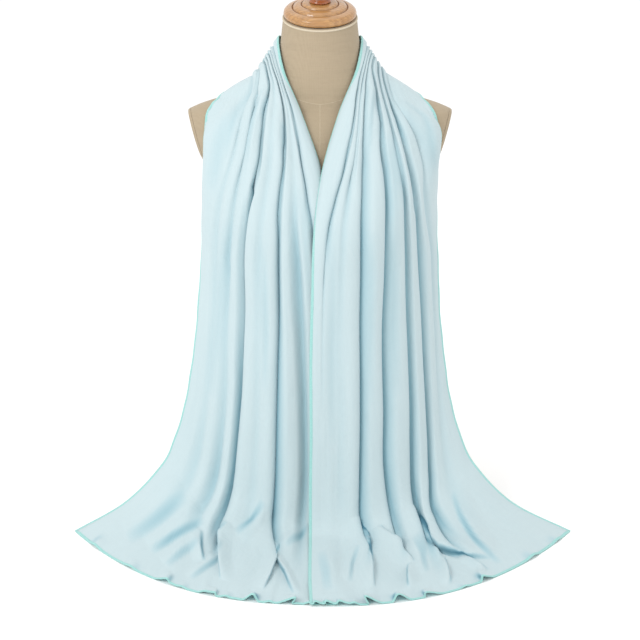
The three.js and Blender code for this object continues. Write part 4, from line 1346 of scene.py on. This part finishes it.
@dataclass
class Scarf:
    """The scarf: one jersey shell and the overlock edge sewn round it."""

    drape: Drape
    width: float = 0.50          # the cut panel, metres
    length: float = 1.80
    thickness: float = 0.9       # of the shown cloth, millimetres
    nape_step: float = 8.4
    fall_step: float = 9.4
    hem_step: float = 3.2
    hem_zone: float = 735.0
    neck_side: float = 92.0
    edge_width: float = 4.6
    edge_height: float = 1.9
    edge_sides: int = 8
    edge_beyond: float = 0.55    # how far the thread stands out past the cloth
    stitch: float = 2.3

    def rows_along(self) -> np.ndarray:
        """Places of the rows from the middle of the nape to a hem."""
        parts = [(0.0, self.neck_side, self.nape_step),
                 (self.neck_side, self.hem_zone, self.fall_step),
                 (self.hem_zone, self.drape.hem_at, self.hem_step)]
        rows = [np.linspace(a, b, round((b - a) / step) + 1)[:-1] for a, b, step in parts]
        return np.concatenate([*rows, [self.drape.hem_at]])

    def grid(self) -> np.ndarray:
        """The whole cloth from the left hem over the nape to the right hem, with its painted
        shade.
        """
        at = self.rows_along()
        left = self.drape.surface(left_half(), at)
        right = self.drape.surface(right_half(), at)
        return np.concatenate([left[::-1], right[1:]], 0)

    def cloth_map(self, points: np.ndarray) -> np.ndarray:
        """Places on the flat panel for each grid point, in metres."""
        across = np.linalg.norm(np.diff(points, axis=1), axis=2)
        u = np.concatenate([np.zeros((len(points), 1)), np.cumsum(across, 1)], 1)
        u = u / u[:, -1:] * self.width
        along = np.concatenate([-self.rows_along()[::-1], self.rows_along()[1:]])
        v = along / self.drape.hem_at * self.length / 2
        return np.stack([u, v[:, None] + 0 * u], -1)

    def build_cloth(self, points: np.ndarray, painted_shade: np.ndarray, jersey: bpy.types.Material
                    ) -> bpy.types.Object:
        """The jersey shell.

        Args:
            points: The cloth's grid, millimetres.
            painted_shade: The shade painted on each point, from 0 to 1, deepest in the folds.
            jersey: Its finish, which paints that shade.

        Returns:
            The shell.
        """
        bm = grid_mesh(points * MM)
        # The painted shade is kept on the vertices, where the jersey's finish reads it.
        depth = bm.verts.layers.float.new("painted_shade")
        for vertex, value in zip(bm.verts, painted_shade.reshape(-1).tolist()):
            vertex[depth] = value
        places = self.cloth_map(points).reshape(-1, 2)
        layer = bm.loops.layers.uv.new("cloth")
        bm.verts.index_update()
        for face in bm.faces:
            for loop in face.loops:
                loop[layer].uv = places[loop.vert.index]
        made = object_from(bm, "jersey_scarf", [jersey], math.radians(180))
        wall = made.modifiers.new("wall", "SOLIDIFY")
        wall.thickness = self.thickness * MM
        wall.offset = 0.0
        wall.use_even_offset = False
        return made

    def perimeter(self, points: np.ndarray) -> tuple[np.ndarray, np.ndarray, np.ndarray]:
        """The way round the cloth's edge: its points, the way inwards and the way out."""
        rows, columns = points.shape[:2]
        normals = self.normals(points)
        path = ([(r, 0) for r in range(rows)]
                + [(rows - 1, c) for c in range(1, columns)]
                + [(r, columns - 1) for r in range(rows - 2, -1, -1)]
                + [(0, c) for c in range(columns - 2, 0, -1)])
        inner = []
        for r, c in path:
            into_row = 2 if r == 0 else (rows - 3 if r == rows - 1 else r)
            into_column = 2 if c == 0 else (columns - 3 if c == columns - 1 else c)
            inner.append((into_row, into_column))
        edge = np.array([points[p] for p in path])
        inwards = unit(np.array([points[p] for p in inner]) - edge)
        out = np.array([normals[p] for p in path])
        return edge, inwards, out

    @staticmethod
    def normals(points: np.ndarray) -> np.ndarray:
        """The cloth's normal at each grid point."""
        across = np.gradient(points, axis=1)
        along = np.gradient(points, axis=0)
        return unit(np.cross(across, along))

    def build_edge(self, points: np.ndarray, thread: bpy.types.Material) -> bpy.types.Object:
        """The overlock edge: a flat band of thread wound over the cloth's rim."""
        edge, inwards, out = self.perimeter(points)
        steps = np.linalg.norm(np.diff(np.concatenate([edge, edge[:1]]), axis=0), axis=1)
        gone = np.concatenate([[0.0], np.cumsum(steps)])
        loops = round(gone[-1] / self.stitch)
        places = np.linspace(0, gone[-1], loops * 3, endpoint=False)

        def even(values: np.ndarray) -> np.ndarray:
            ring = np.concatenate([values, values[:1]])
            return np.stack([np.interp(places, gone, ring[:, k]) for k in range(3)], -1)

        edge, inwards, out = even(edge), unit(even(inwards)), even(out)
        out = unit(out - inwards * np.sum(out * inwards, -1, keepdims=True))
        turn = 2 * math.pi * np.arange(self.edge_sides + 1) / self.edge_sides
        swing = np.sin(2 * math.pi * places / self.stitch)
        wide = self.edge_width / 2 * (1 + 0.10 * swing)
        high = self.edge_height / 2 * (1 + 0.24 * np.cos(2 * math.pi * places / self.stitch))
        middle = edge + inwards * (self.edge_width / 2 - self.edge_beyond)
        band = (middle[:, None]
                + (wide[:, None] * np.cos(turn))[..., None] * inwards[:, None]
                + (high[:, None] * np.sin(turn))[..., None] * out[:, None])
        band[..., 2] = np.maximum(band[..., 2], 0.05)
        band = np.concatenate([band, band[:1]])
        bm = grid_mesh(band * MM, closed=True)
        self.map_band(bm, np.concatenate([places, [gone[-1]]]) * MM)
        bmesh.ops.remove_doubles(bm, verts=bm.verts, dist=1e-7)
        bmesh.ops.recalc_face_normals(bm, faces=bm.faces)
        return object_from(bm, "overlock_edge", [thread], math.radians(180))

    def map_band(self, bm: bmesh.types.BMesh, along: np.ndarray) -> None:
        """Unrolls the band on a UV map of its own.

        Args:
            bm: The band, its last column joined to the first.
            along: Place of each row along the cloth's rim, in metres.
        """
        columns = self.edge_sides
        around = np.arange(columns + 1) / columns * self.edge_width * 2 * MM
        layer = bm.loops.layers.uv.new("band")
        bm.verts.index_update()
        for face in bm.faces:
            numbers = [loop.vert.index for loop in face.loops]
            crosses = {n % columns for n in numbers} == {0, columns - 1}
            for loop, number in zip(face.loops, numbers):
                row, column = divmod(number, columns)
                wrapped = columns if crosses and column == 0 else column
                loop[layer].uv = (along[row], around[wrapped])

    def build(self) -> None:
        grid = self.grid()
        points, painted_shade = grid[..., :3], grid[..., 3]
        cloth = self.build_cloth(points, painted_shade, JerseyKnit().make())
        edge = self.build_edge(points, EdgeThread().make())
        for piece in (cloth, edge):
            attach(piece, "root")
        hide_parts("scarf_nape", "scarf_left_fall", "scarf_right_fall")
        log.info("scarf of %d rows and %d columns", *points.shape[:2])


# The studio

@dataclass
class Studio:
    """A white table, soft light and the photograph's camera."""

    distance: float = 2.28
    elevation: float = math.radians(16)
    aim: float = 0.252
    lens: float = 94.5

    def build_camera(self) -> None:
        """The camera, level sideways and looking slightly down."""
        data = bpy.data.cameras.new("view")
        data.lens = self.lens
        data.sensor_width = 36.0
        data.clip_end = 50.0
        camera = bpy.data.objects.new("view", data)
        camera.location = (0.0, -self.distance * math.cos(self.elevation),
                           self.aim + self.distance * math.sin(self.elevation))
        camera.rotation_euler = (math.pi / 2 - self.elevation, 0.0, 0.0)
        bpy.context.scene.collection.objects.link(camera)
        bpy.context.scene.camera = camera

    def build_table(self) -> None:
        """A white table top."""
        f = Finish("table_white")
        clouds = f.noise(f.stretched("Object", (1.0, 1.0, 1.0)), 3.0, 2.0)
        color = f.mix(clouds, (0.955, 0.955, 0.955), (0.97, 0.97, 0.97))
        white = f.done(Base_Color=color, Roughness=0.9, Specular_IOR_Level=0.1)
        bm = bmesh.new()
        bmesh.ops.create_grid(bm, x_segments=2, y_segments=2, size=6.0)
        bmesh.ops.translate(bm, vec=(0, 0, -0.4 * MM), verts=bm.verts)
        table = object_from(bm, "table", [white])

    def build_lights(self) -> None:
        """Soft panels in front and above, in a white room."""
        panels = [
            ("key", (-1.9, -2.2, 2.2), 1.2, 46.0),
            ("fill", (2.2, -1.8, 1.4), 2.2, 9.0),
            ("top", (0.0, 0.4, 2.8), 2.6, 9.0),
        ]
        for name, place, size, power in panels:
            data = bpy.data.lights.new(name, "AREA")
            data.size = size
            data.energy = power
            lamp = bpy.data.objects.new(name, data)
            lamp.location = place
            way = Vector((0, 0, 0.35)) - Vector(place)
            lamp.rotation_euler = way.to_track_quat("-Z", "Y").to_euler()
            bpy.context.scene.collection.objects.link(lamp)
        world = bpy.data.worlds.new("white_room")
        world.use_nodes = True
        bpy.context.scene.view_settings.view_transform = "Standard"
        back = next(n for n in world.node_tree.nodes if n.type == "BACKGROUND")
        back.inputs["Color"].default_value = (1.0, 1.0, 1.0, 1.0)
        back.inputs["Strength"].default_value = 1.06
        bpy.context.scene.world = world

    def build(self) -> None:
        """Builds the studio."""
        self.build_camera()
        self.build_table()
        self.build_lights()


def main() -> None:
    """Builds the studio, the form and the scarf."""
    logging.basicConfig(level=logging.INFO, format="%(name)s: %(message)s")
    Studio().build()
    shape = FormShape()
    DressForm(shape).build()
    Scarf(Drape(shape)).build()


if __name__ == "__main__":
    main()
